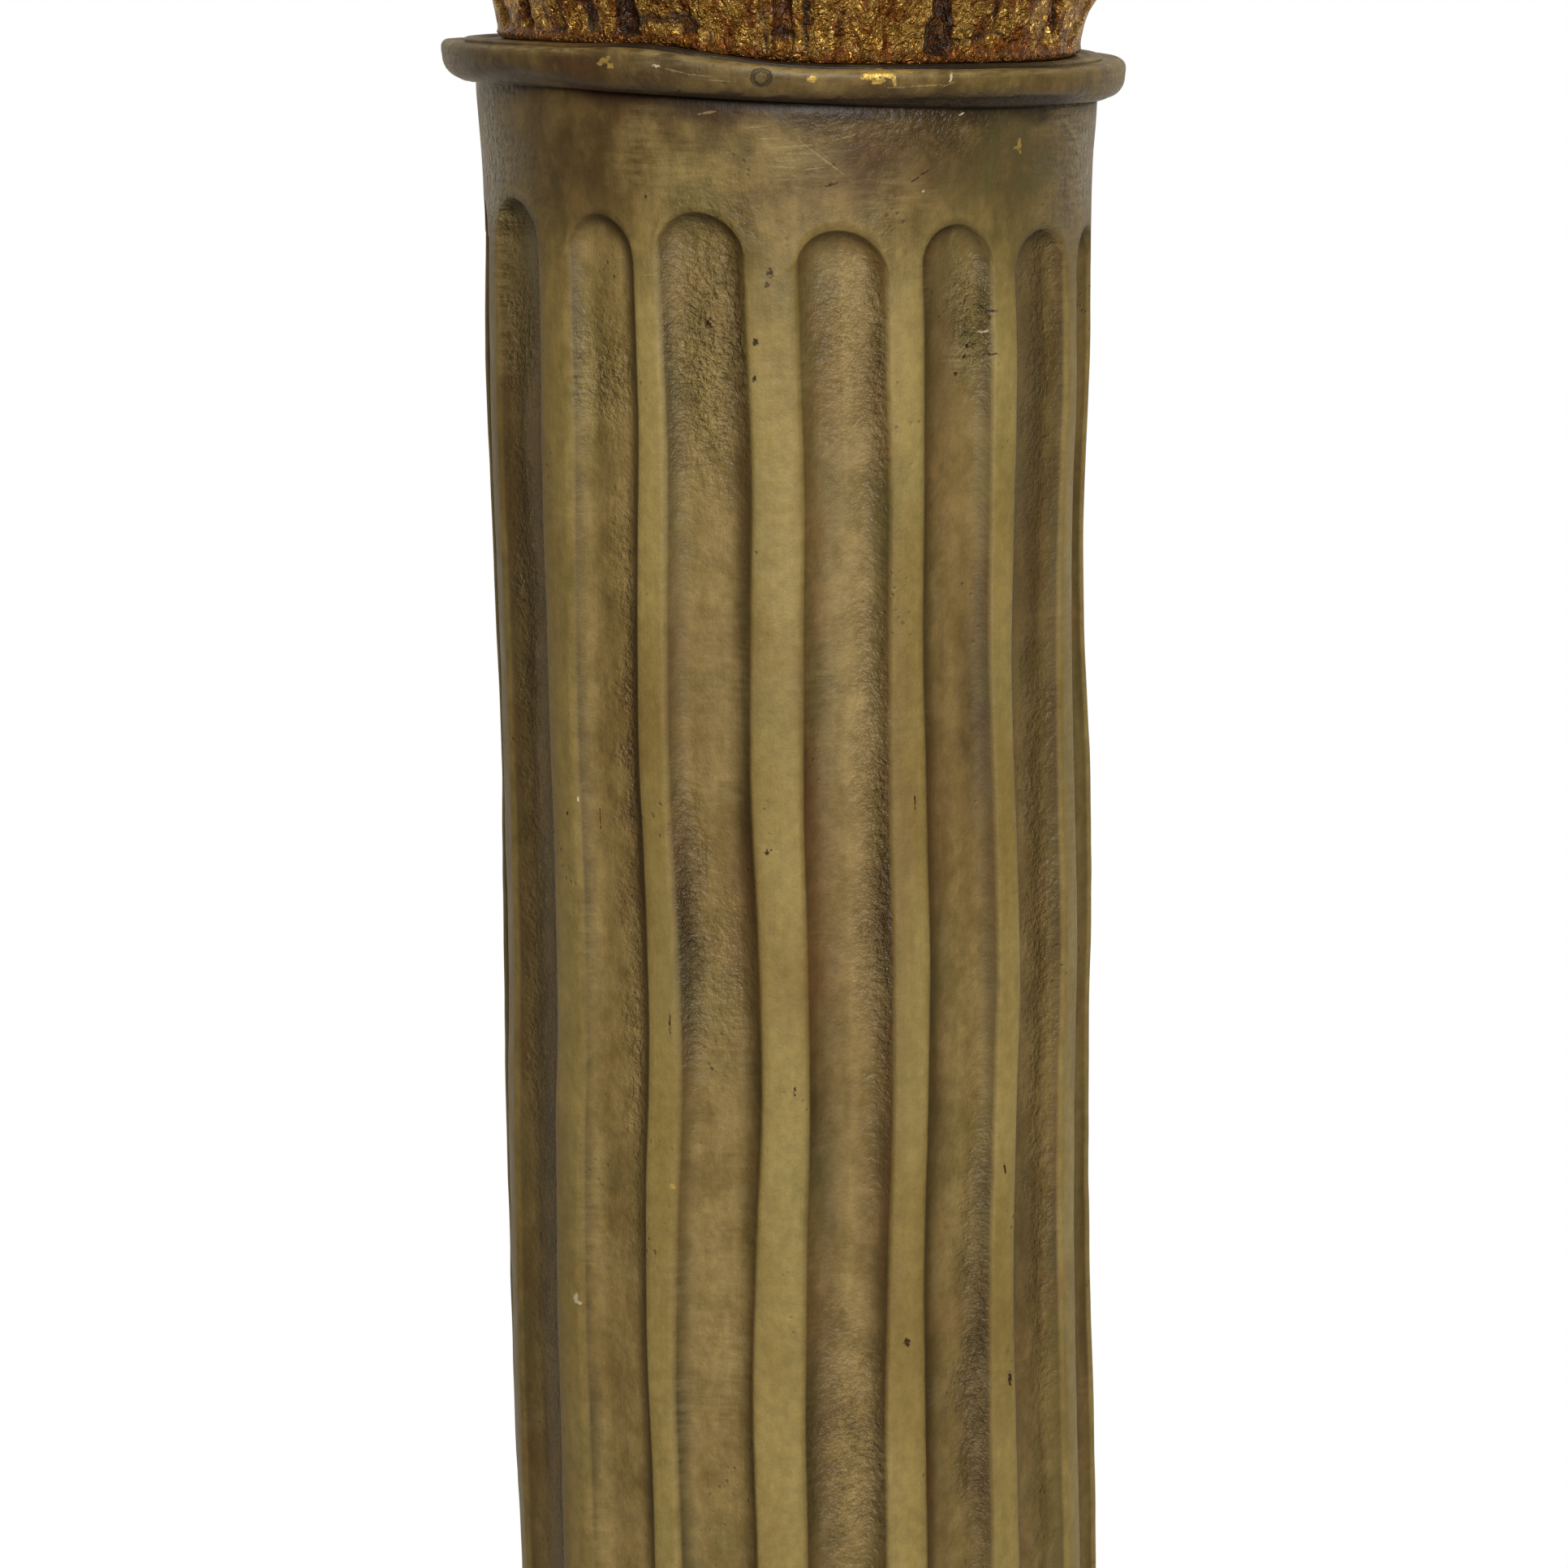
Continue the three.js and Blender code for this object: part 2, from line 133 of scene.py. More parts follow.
def along(stops, height):
    """A value that runs smoothly through a few (height, value) stops, listed from the top down."""
    result = np.full(np.shape(height), float(stops[-1][1]))
    for (top, above), (bottom, below) in zip(stops, stops[1:]):
        result += (above - below) * smoothstep(height, bottom, top)
    return result


def polar(angle, radius, height):
    """Points at an angle, a radius and a height, as an array with x, y, z last."""
    angle, radius, height = np.broadcast_arrays(angle, radius, height)
    return np.stack([radius * sin_of(angle), -radius * cos_of(angle), height], axis=-1).astype(float)


def arc(radius, height, reach, rise, turns):
    """Places (radius, height) on an arc about a centre, at turns in degrees up from straight outwards."""
    return [(radius + reach * cos_of(turn), height + rise * sin_of(turn)) for turn in turns]


def hashed(ix, iy, iz, seed):
    n = (ix * 374761393 + iy * 668265263 + iz * 1442695041 + seed * 974634777) & 0xFFFFFFFF
    n = ((n ^ (n >> 13)) * 1274126177) & 0xFFFFFFFF
    return ((n ^ (n >> 16)) & 0xFFFF) / 0x8000 - 1.0


def noise(points, size, seed=0, stretch=(1, 1, 1)):
    """Smooth noise from -1 to 1 with features of about size millimetres, stretched along each axis."""
    scaled = points / (size * np.array(stretch, float))
    cell = np.floor(scaled).astype(np.int64)
    t = scaled - cell
    t = t * t * (3 - 2 * t)
    total = 0.0
    for corner in range(8):
        step = np.array([corner & 1, (corner >> 1) & 1, corner >> 2])
        weight = np.prod(np.where(step == 1, t, 1 - t), axis=-1)
        ix, iy, iz = np.moveaxis(cell + step, -1, 0)
        total = total + weight * hashed(ix, iy, iz, seed)
    return total


# Meshes

def numbers(items, name, width, kind=float):
    """One property of all the points or edges of a mesh, as an array with a row for each."""
    values = np.empty(len(items) * width, kind)
    items.foreach_get(name, values)
    return values.reshape(-1, width)


def write_values(data, values):
    """Stores named values at the points of a mesh, for its finish to read."""
    for key, value in values.items():
        layer = data.attributes.new(key, "FLOAT", "POINT")
        layer.data.foreach_set("value", value.astype(np.float32))


def mesh(name, points, faces, values=None):
    """A smooth-shaded object from points in millimetres, faces, and named values for each point.

    The values leave out the two points with which stacked_loops closes the ends.
    """
    data = bpy.data.meshes.new(name)
    data.from_pydata((points * MM).tolist(), [], faces)
    write_values(data, {key: np.append(value, [0, 0]) for key, value in (values or {}).items()})
    data.polygons.foreach_set("use_smooth", [True] * len(data.polygons))
    data.update()
    piece = bpy.data.objects.new(name, data)
    bpy.context.scene.collection.objects.link(piece)
    return piece


def stacked_loops(rows):
    """Points and faces of closed loops of equal length, stacked upwards and closed by a fan at each end."""
    rows = np.asarray(rows, float)
    row_count, count = rows.shape[:2]
    points = np.concatenate([rows.reshape(-1, 3), rows[:1].mean(axis=1), rows[-1:].mean(axis=1)])
    bottom = row_count * count
    top = bottom + 1
    i = np.arange(count)
    after = (i + 1) % count
    j = np.arange(row_count - 1)[:, None] * count
    quads = np.stack([j + i, j + after, j + count + after, j + count + i], axis=-1).reshape(-1, 4)
    last = (row_count - 1) * count
    fans = [(bottom, int(b), int(a)) for a, b in zip(i, after)]
    fans += [(top, int(last + a), int(last + b)) for a, b in zip(i, after)]
    return points, quads.tolist() + fans


# Shaft

def fillet_layout():
    """Each fillet's centre and width in degrees, at the upper, middle and lower level."""
    centres = [
        (-73.5, -73.5, -73.5), (-48.5, -49.0, -48.8), (-26.6, -26.6, -26.2), (-2.9, -3.0, -3.0),
        (21.8, 21.5, 21.2), (43.5, 43.5, 43.4), (66.8, 65.2, 66.6),
    ]
    widths = [
        (6.5, 6.5, 6.5), (8.0, 7.3, 7.9), (4.9, 6.0, 5.2), (9.0, 8.4, 9.0),
        (6.4, 6.4, 7.2), (5.6, 5.2, 6.5), (5.6, 7.2, 6.6),
    ]
    last = centres[-1][0]
    first = centres[0][0] + 360
    hidden = FLUTE_COUNT - len(centres)
    for i in range(1, hidden + 1):
        centre = lerp(last, first, i / (hidden + 1)) + 0.7 * sin_of(137 * i)
        width = 7 + sin_of(211 * i)
        centres.append((centre,) * 3)
        widths.append((width, width + 0.6, width))
    return np.array(centres), np.array(widths)


FILLET_CENTRES, FILLET_WIDTHS = fillet_layout()

# How far the shaft swells or shrinks at its left and right side, as (height, millimetres)
LEFT_SWAY = [(885, -0.8), (854, -0.2), (793, 1.0), (712, -0.2), (557, 1.5), (458, 0.8)]
RIGHT_SWAY = [(866, 0.7), (838, 0.1), (815, 0), (757, -1.7), (675, 0.1), (604, -1.1), (457, 0.5)]

# How far each flute's head lies above or below their common height
SEEN_HEAD_OFFSETS = [0.5, -1.3, 1.35, -0.9, 1.6, -0.7, -2.1]
HEAD_OFFSETS = np.array([
    SEEN_HEAD_OFFSETS[i] if i < len(SEEN_HEAD_OFFSETS) else 1.5 * sin_of(83 * i)
    for i in range(FLUTE_COUNT)
])

# The strength and the reach of the dark glaze on each flute's left and right wall, its share on each
# flute's floor, and the wear on each fillet
WALL_STRENGTHS = [
    (0.9, 0.2), (0.8, 0.7), (0.9, 1.0), (1.0, 1.0), (1.0, 0.85), (0.8, 0.9), (0.9, 0.9), (0.85, 0.85),
]
WALL_REACHES = [(5, 2), (2, 5.2), (4, 4.8), (8, 5), (8.5, 4), (6, 5), (5, 5), (4, 4)]
FLOOR_GLAZE = [0.15, 0.1, 0, 0, 0.2, 0.6, 0.7, 0.2]
FILLET_WEAR = [0.6, 0.75, 1.0, 1.0, 0.95, 1.15, 1.0, 0.9]


def twist(height):
    """The twist that all flutes share, in degrees."""
    ripple = 0.42 * cos_of(360 * (height - UPPER_LEVEL) / 160) * smoothstep(height, 380, 480)
    lean = -2.1 * (1 - smoothstep(height, 480, 650)) * smoothstep(height, 200, 480)
    return ripple + lean


def at_levels(values, height):
    upper, middle, lower = values[..., 0], values[..., 1], values[..., 2]
    lifted = lower + (middle - lower) * smoothstep(height, LOWER_LEVEL, MIDDLE_LEVEL)
    return lifted + (upper - middle) * smoothstep(height, MIDDLE_LEVEL, UPPER_LEVEL)


def fillet_edge(index, side, height):
    """The angle of a fillet's left (-1) or right (+1) edge."""
    sway = 0.25 * sin_of(2.1 * height + 97 * index + 40 * side)
    wobble = 0.06 * sin_of(6.3 * height + 61 * index + 25 * side)
    half = at_levels(FILLET_WIDTHS[index], height) / 2
    return at_levels(FILLET_CENTRES[index], height) + side * half + sway + wobble + twist(height)


def ring_lift(angle):
    """The height that the ring and the flute heads gain or lose round the shaft."""
    sideways = RING_DIP_SIDEWAYS * sin_of(angle)
    twist = RING_TWIST * sin_of(2 * angle) * (1 + cos_of(angle)) / 2
    return -RING_DROP - sideways - twist


def lip_sway(angle):
    """The height that the ring's upper edge, and the capital's foot on it, gain or lose as well."""
    turned = turned_to_front(angle)
    return 1.3 * np.exp(-((turned + 24) / 11) ** 2) - 1.5 * np.exp(-((turned - 4) / 19) ** 2)


def lower_edge_rise(angle):
    """How far the ring's lower edge is worn up, towards its left and right ends as they are seen."""
    turned = turned_to_front(angle)
    right = smoothstep(turned, -12, 32) * (1 - smoothstep(turned, 52, 76))
    left = smoothstep(-turned, 30, 50) * (1 - smoothstep(-turned, 50, 72))
    return 2.4 * right + 2.2 * left


def shaft_radius(angle, height):
    taper = lerp(SHAFT_TOP_RADIUS, SHAFT_FOOT_RADIUS, smoothstep(470 - height, 0, 280))
    flare = smoothstep(height, FLUTE_HEAD - 6, RING_TOP - RING_THICKNESS) ** 1.3
    neck = (NECK_RADIUS - SHAFT_TOP_RADIUS) * flare
    side = sin_of(angle)
    sway = np.where(side < 0, along(LEFT_SWAY, height), along(RIGHT_SWAY, height))
    rear = 0.5 * np.maximum(0, -cos_of(angle)) * sin_of(1.7 * height + 2 * angle)
    return taper + neck + sway * side * side + rear * smoothstep(height, 140, 200)


class ShaftColumns:
    """The columns of the shaft's grid. Each lies on a fillet, or in the flute to the right of it."""

    def __init__(self):
        columns = []
        for index in range(FLUTE_COUNT):
            columns += [(index, along_fillet, 1, False) for along_fillet in (-1, -0.88, -0.6, 0, 0.6, 0.88)]
            seen = index <= 6 or index == FLUTE_COUNT - 1
            for t in np.linspace(-1, 1, 32 if seen else 14)[1:-1]:
                columns.append((index, 1, 0.55 * t + 0.45 * math.sin(math.pi * t / 2), True))
        fillet, self.along_fillet, self.across, in_flute = np.array(columns, float).T
        self.fillet = fillet.astype(int)
        self.in_flute = in_flute > 0
        before = HEAD_OFFSETS[self.fillet - 1]
        own = HEAD_OFFSETS[self.fillet]
        self.head_offset = np.where(self.in_flute, own, lerp(before, own, (self.along_fillet + 1) / 2))
        bent = np.where(self.in_flute, self.across, 1.0)
        self.end_rise = FLUTE_END_RISE * (1 - np.sqrt(np.clip(1 - bent ** 2, 0, 1)))

    def angle(self, height):
        left = fillet_edge(self.fillet, -1, height)
        right = fillet_edge(self.fillet, 1, height)
        following = (self.fillet + 1) % FLUTE_COUNT
        wrap = np.where(following == 0, 360, 0)
        far = fillet_edge(following, -1, height) + wrap
        on_fillet = lerp(left, right, (self.along_fillet + 1) / 2)
        return np.where(self.in_flute, lerp(right, far, (self.across + 1) / 2), on_fillet)

    def head(self):
        return FLUTE_HEAD + self.head_offset + ring_lift(self.angle(FLUTE_HEAD)) - self.end_rise

    def foot(self):
        return FLUTE_FOOT + sin_of(71 * self.fillet) + self.end_rise

    def section(self):
        """The flute's depth across it, from 0 at its edges to 1 on its floor."""
        inwards = np.clip((1 - np.abs(self.across)) / 0.58, 0, 1)
        return np.where(self.in_flute, 1 - (1 - inwards) ** 2.2, 0)

    def from_edge(self, heights):
        """The distance from the flute's edge, round its ends as well, in millimetres (0 on a fillet)."""
        left = fillet_edge(self.fillet, 1, MIDDLE_LEVEL)
        following = np.roll(FILLET_CENTRES[:, 1], -1)[self.fillet] - FILLET_WIDTHS[self.fillet, 1] / 2
        half_width = np.radians((following - left) % 360) * SHAFT_TOP_RADIUS / 2
        sideways = (1 - np.abs(self.across)) * half_width
        upwards = np.minimum(self.head() - heights, heights - self.foot())
        return np.where(self.in_flute, np.clip(np.minimum(sideways, upwards), 0, 20), 0)

    def for_wall(self, pairs):
        """Each column's own value from (left wall, right wall) pairs."""
        pairs = np.array(pairs)[np.minimum(self.fillet, len(pairs) - 1)]
        return np.where(self.across < 0, pairs[:, 0], pairs[:, 1])

    def edge_drop(self):
        """How far the rounded edges of the fillets lie below their faces."""
        return np.where(self.in_flute, 0.3, 0.3 * np.abs(self.along_fillet) ** 6)


def shaft_rows(columns):
    """Rows of heights, shares of the flute's depth, and radii where a row has its own (else 0)."""
    bottom = BASE_HEIGHT + PIECE_GAP
    band_top = BASE_HEIGHT + FOOT_BAND_HEIGHT
    edge = 1.5
    band = [(FOOT_BAND_RADIUS - 2 * edge, bottom)]
    band += arc(FOOT_BAND_RADIUS - edge, bottom + edge, edge, edge, (-90, -60, -30, 0))
    band.append((FOOT_BAND_RADIUS, (bottom + band_top) / 2))
    band += arc(FOOT_BAND_RADIUS - edge, band_top - edge, edge, edge, (0, 30, 60, 90))
    lowest = band_top + 12.3
    for t in (0.1, 0.3, 0.5, 0.7, 0.9, 1.0):
        radius = lerp(FOOT_BAND_RADIUS - 2 * edge, SHAFT_FOOT_RADIUS, 1 - (1 - t) ** 2.2)
        band.append((radius, band_top + 0.3 + 12 * t ** 1.5))
    rows = [(height, 0, radius) for radius, height in band]
    foot = columns.foot()
    head = columns.head()
    rows += [(lerp(lowest, foot, t), 0, 0) for t in (0.35, 0.7, 0.9, 1.0)]
    hollowing = FLUTE_HOLLOWING
    steps = (0, 0.5, 1.2, 2.2, 3.6, 5.2, hollowing)
    inwards = [(step, math.sqrt(1 - (1 - step / hollowing) ** 2)) for step in steps]
    rows += [(foot + step, share, 0) for step, share in inwards[1:]]
    stop = 10
    while stop < FLUTE_HEAD - FLUTE_FOOT - 16:
        t = stop / (FLUTE_HEAD - FLUTE_FOOT - 2 * hollowing)
        rows.append((lerp(foot + hollowing, head - hollowing, t), 1, 0))
        stop += FINE_ROW if FLUTE_FOOT + hollowing + stop > VIEW_BOTTOM else COARSE_ROW
    rows += [(head - step, share, 0) for step, share in reversed(inwards)]
    underside = RING_TOP - RING_THICKNESS + ring_lift(columns.angle(FLUTE_HEAD))
    rows += [(lerp(head, underside - 0.4, t), 0, 0) for t in np.linspace(0, 1, 14)[1:]]
    return [np.array([np.broadcast_to(row[k], head.shape) for row in rows], float) for k in range(3)]


def ring_section():
    """The neck ring as (radius, height over its underside), with the low painted roll on its top."""
    section = [(NECK_RADIUS - 0.6, 0.1), (NECK_RADIUS + 1.5, 0.4), (RING_RADIUS - 6, 0.1)]
    lower, upper = 6.3, 2.2
    section += arc(RING_RADIUS - lower - 0.2, 6.4, lower, lower, np.linspace(-80, 0, 9))
    section += [(RING_RADIUS - 0.1, 7.2), (RING_RADIUS, 8.0)]
    section += arc(RING_RADIUS - upper, RING_THICKNESS - upper, upper, upper, np.linspace(12, 90, 7))
    section += [(RING_RADIUS - 4.5, RING_THICKNESS - 0.5), (RING_RADIUS - 7, RING_THICKNESS - 0.7)]
    section += arc(PAINTED_ROLL_RADIUS, RING_THICKNESS, 2.2, 0.8, np.linspace(0, 180, 7))
    section += [(80, RING_THICKNESS), (40, RING_THICKNESS)]
    return section


def shaft_shape():
    columns = ShaftColumns()
    heights, shares, own_radii = shaft_rows(columns)
    angles = columns.angle(heights)
    floor = shares * columns.section()
    radii = shaft_radius(angles, heights) - FLUTE_DEPTH * floor - columns.edge_drop() * (shares > 0)
    radii = np.where(own_radii > 0, own_radii, radii)
    ring_angle = columns.angle(FLUTE_HEAD)
    radius, above = np.array(ring_section()).T[..., None]
    lift = ring_lift(ring_angle) * radius / RING_RADIUS
    lift = lift + lip_sway(ring_angle) * smoothstep(above, 3, RING_THICKNESS)
    lift = lift + lower_edge_rise(ring_angle) * (1 - above / RING_THICKNESS) * smoothstep(radius, 86.8, 91)
    level = np.zeros_like(lift)
    heights = np.vstack([heights, RING_TOP - RING_THICKNESS + above + lift])
    angles = np.vstack([angles, ring_angle + level])
    radii = np.vstack([radii, radius + level])
    floor = np.vstack([floor, level])
    return columns, angles, radii, heights, floor


# Places where the finish differs, as (angle, height, half angle, half height, strength)
PATCHES = {"rough": [
    (-15, 823, 7.5, 28, 0.85), (-22, 664, 4, 28, 0.8), (-14, 655, 5, 20, 0.35), (11, 826, 7, 18, 0.4),
    (17, 815, 3, 30, 0.6), (17, 680, 3.5, 62, 0.7), (9, 515, 7, 30, 0.6), (-37, 815, 5, 14, 0.55),
    (-32, 725, 3.5, 48, 0.7), (38, 827, 4, 12, 1.0), (37, 535, 4, 55, 0.6), (57, 815, 5, 60, 0.5),
    (-62, 822, 6, 16, 0.9), (-64, 750, 4, 46, 0.9), (30, 880, 22, 7, 0.35), (-72, 868, 14, 20, 0.8),
    (72, 868, 14, 20, 0.8), (-63, 640, 5, 120, 0.6), (56, 640, 4, 120, 0.6), (-80, 893, 12, 8, 0.5),
    (-33, 640, 3, 60, 0.5),
], "dark": [
    # The first row of dark patches lies just under the ring: partly darker paint, partly painted shadow of
    # the ring on the neck.
    (-12, 885, 26, 3.2, 1.0), (22, 884.5, 20, 3.4, 1.0), (-37, 879, 9, 9, 0.6), (42, 877, 12, 9, 0.7),
    (14, 872, 9, 9, 1.0), (30, 873, 12, 11, 0.85), (-48, 873, 13, 16, 0.6), (-37, 867, 8, 10, 0.6),
    (48, 868, 12, 14, 0.75), (64, 870, 10, 20, 0.5), (-22, 662, 4, 24, 0.8), (32, 826, 5, 24, 0.55),
    (-9, 770, 2.6, 60, 0.6), (19, 660, 3, 60, 0.6), (38, 720, 3.5, 34, 0.7), (36, 530, 4, 50, 0.65),
    (-10, 668, 3, 50, 0.5), (-66, 770, 8, 90, 0.6), (57, 780, 6, 90, 0.55), (-30, 690, 3, 30, 0.6),
    (-36, 896, 11, 7, 1.0), (-56, 895, 12, 7, 1.0), (9.6, 864, 2.4, 3.5, 0.6), (-22, 894, 12, 7, 0.9),
    (-17, 877, 6, 3, 0.5), (-62, 600, 9, 120, 0.6),
], "red": [
    (-38, 862, 7, 10, 0.5), (-15, 829, 3, 4, 0.6), (20, 700, 3, 70, 0.7), (4, 700, 2.5, 90, 0.5),
    (-33, 700, 3, 40, 0.6), (30, 866, 10, 8, 0.4), (15, 873, 8, 6, 0.6), (-52, 790, 3, 40, 0.5),
    (-45, 895, 14, 6, 0.5), (12, 640, 6, 60, 0.35), (33, 770, 5, 60, 0.35), (-12, 680, 5, 26, 0.5),
], "green": [
    (-41, 825, 4, 25, 0.6), (-19, 790, 3, 50, 0.4), (-9, 735, 2.6, 26, 0.7), (2, 820, 3, 16, 0.6),
    (45, 868, 14, 14, 0.5), (-10, 872, 5, 5, 0.4), (37, 818, 3.4, 9, 0.8), (-62, 850, 10, 26, 0.4),
    (32, 600, 3, 60, 0.4), (60, 893, 20, 6, 0.3), (-68, 868, 10, 20, 0.5), (25, 760, 3, 60, 0.35),
], "pale": [
    # Of the pale patches, the one on the ring's top edge at -16 degrees is a painted highlight, and those
    # on the ring and neck at about 70 to 80 degrees either side, with the long one on the fillet at 67
    # degrees, are painted reflection of the bright surroundings at the column's sides.
    (1, 873, 7, 6, 0.5), (-5, 878.5, 7, 2.4, 0.4), (-19, 868, 8, 7, 0.5), (35, 817, 3.2, 3.2, 0.9),
    (-16, 898, 6, 2, 0.7), (-2.5, 770, 4, 50, 0.35), (-41, 815, 3, 16, 0.4), (-2.5, 560, 4, 60, 0.2),
    (20, 862, 9, 5, 0.4), (80, 892, 16, 8, 0.9), (-80, 896, 13, 8, 0.8), (70, 868, 10, 24, 0.9),
    (-69, 868, 9, 26, 0.8), (-15, 562, 6, 70, 0.3), (67, 690, 2.2, 170, 0.6), (-14, 735, 5, 30, 0.35),
    (9, 735, 5, 24, 0.3),
]}


def patched(angle, points):
    """The strongest patch of each kind at each point, with ragged outlines."""
    height = points[..., 2] + 3.5 * noise(points, 7, 41) + 1.5 * noise(points, 2.8, 42)
    turned = turned_to_front(angle) + 2.0 * noise(points, 8, 43) + 0.9 * noise(points, 3, 44)
    strongest = {}
    for kind, patches in PATCHES.items():
        result = np.zeros(height.shape)
        for at, level, half_angle, half_height, strength in patches:
            reach = ((turned - at) / half_angle) ** 2 + ((height - level) / half_height) ** 2
            result = np.maximum(result, strength * np.exp(-0.8 * reach))
        strongest[kind] = result
    return strongest


def glaze_in_flutes(columns, heights, points):
    """The dark glaze that lies along the flutes' edges, and over the floor of some of them."""
    reach = columns.from_edge(heights)
    ragged = reach + 1.3 * noise(points, 7, 51, (1, 1, 3)) + 0.6 * noise(points, 2.5, 52, (1, 1, 1.6))
    along_edge = columns.for_wall(WALL_STRENGTHS) * np.exp(-(ragged / columns.for_wall(WALL_REACHES)) ** 2)
    index = np.minimum(columns.fillet, len(FLOOR_GLAZE) - 1)
    over_floor = np.array(FLOOR_GLAZE)[index] * (0.85 + 0.3 * noise(points, 18, 53, (1, 1, 3)))
    return smoothstep(reach, 0.15, 0.9) * np.maximum(along_edge, over_floor)


def finish_values(points, angle, floor, worn, wall=0.0):
    """The values that the patina reads at each point."""
    away = smoothstep(-cos_of(angle), -0.1, 0.4)
    rear = smoothstep(noise(points, 16, 45, (1, 1, 2.5)), 0.1, 0.7) * away
    # The patches lie in the flutes and on the neck, and hardly reach the fillets between the flutes
    kept = np.maximum(smoothstep(floor, 0.05, 0.5), smoothstep(points[..., 2], FLUTE_HEAD - 16, FLUTE_HEAD))
    patch = patched(angle, points)
    patch["rough"] = np.maximum(patch["rough"] * kept, 0.8 * rear * floor) + 0.05 * floor
    patch["dark"] = np.maximum(patch["dark"] * (0.35 + 0.65 * kept), 0.5 * rear)
    patch["green"] *= 0.4 + 0.6 * kept
    for kind, most, size, seed, low, high in (
        ("red", 0.5, 24, 47, 0.25, 0.8), ("green", 0.5, 27, 48, 0.2, 0.8), ("pale", 0.3, 19, 49, 0.4, 0.9),
    ):
        patch[kind] += most * smoothstep(noise(points, size, seed), low, high)
    return {
        "floor": smoothstep(floor, 0.5, 0.95),
        "wall": wall * (0.95 + 0.2 * noise(points, 22, 46, (1, 1, 2))),
        "worn": worn,
        **patch,
    }


def shaft():
    columns, angles, radii, heights, floor = shaft_shape()
    flat = polar(angles, radii, heights)
    above_foot = smoothstep(heights, 131, 150)
    in_ring = heights > RING_TOP - RING_THICKNESS + ring_lift(angles) - 0.2
    bulges = 0.35 * noise(flat, 46, 1) + 0.14 * noise(flat, 17, 2) + 0.07 * noise(flat, 7, 3)
    gouged = 0.22 * noise(flat, 6, 4, (1, 1, 7)) + 0.16 * noise(flat, 5, 5) + 0.10 * noise(flat, 2.6, 6)
    radii = radii + bulges * above_foot + gouged * floor ** 2
    ripple = np.where(in_ring, 0.7 * noise(flat, 27, 7, (1, 1, 2)) + 0.2 * noise(flat, 9, 8), 0)
    heights = heights + ripple * (radii > NECK_RADIUS + 3)
    moved = polar(angles, radii, heights)
    points, faces = stacked_loops(moved)
    head = np.broadcast_to(columns.head(), heights.shape)
    wear = np.array(FILLET_WEAR)[np.minimum(columns.fillet, len(FILLET_WEAR) - 1)]
    wear = wear * (1 - 0.3 * np.abs(columns.along_fillet) ** 3)
    worn = wear * smoothstep(head - heights, -24, 30) * smoothstep(heights, 136, 175)
    values = finish_values(moved, angles, floor, worn, glaze_in_flutes(columns, heights, moved))
    over_ring = heights - RING_TOP - ring_lift(angles) - lip_sway(angles)
    below_ring = RING_TOP - RING_THICKNESS + ring_lift(angles) - heights + 0.8 * noise(moved, 9, 55)
    # Painted shadow: the neck just under the ring is darkened as if in the ring's shade, through wall
    # values of up to 1.6, which the finish draws in its darkest colour.
    shadow = (1 - smoothstep(below_ring, 1.8, 4.6)) * smoothstep(angles, -45, -25)
    shadow = shadow * (1 - smoothstep(angles, 50, 70))
    values["wall"] = np.maximum(values["wall"], 1.6 * shadow * (radii < RING_RADIUS - 2.5))
    # A pale line along the ring's upper edge: partly wear, partly a painted highlight.
    lip = np.exp(-((over_ring + 0.7) / 0.9) ** 2) * smoothstep(radii, RING_RADIUS - 4, RING_RADIUS - 2)
    values["pale"] = np.maximum(values["pale"], lip * (0.8 + 0.5 * noise(moved, 11, 54)))
    return mesh("patinated_shaft", points, faces, values)


# Base

def base_section():
    """The base above its plinth as (radius, height)."""
    hollow_bottom = PLINTH_HEIGHT + LOWER_ROLL_HEIGHT + STEP_HEIGHT
    hollow_top = hollow_bottom + HOLLOW_HEIGHT
    upper_bottom = hollow_top + STEP_HEIGHT
    upper_top = upper_bottom + UPPER_ROLL_HEIGHT
    half = LOWER_ROLL_HEIGHT / 2
    section = arc(LOWER_ROLL_RADIUS - half, PLINTH_HEIGHT + half, half, half, np.linspace(-84, 84, 15))
    section.append((LOWER_ROLL_RADIUS - 10.6, hollow_bottom - 2.6))
    section.append((LOWER_ROLL_RADIUS - 10.8, hollow_bottom - 0.4))
    for t in np.linspace(0, 1, 9):
        radius = lerp(LOWER_ROLL_RADIUS - 12, BASE_TOP_RADIUS + 0.4, t ** 0.45)
        section.append((radius - 3.6 * math.sin(math.pi * t) ** 1.5, lerp(hollow_bottom, hollow_top, t)))
    section += [(BASE_TOP_RADIUS + 1.4, hollow_top + 0.4), (BASE_TOP_RADIUS + 1.4, upper_bottom - 0.2)]
    half = UPPER_ROLL_HEIGHT / 2
    section += arc(UPPER_ROLL_RADIUS - half, upper_bottom + half, half, half, np.linspace(-80, 80, 12))
    section += [
        (BASE_TOP_RADIUS, upper_top + 0.3), (BASE_TOP_RADIUS, BASE_HEIGHT - 0.9),
        (BASE_TOP_RADIUS - 0.8, BASE_HEIGHT), (60, BASE_HEIGHT),
    ]
    return section


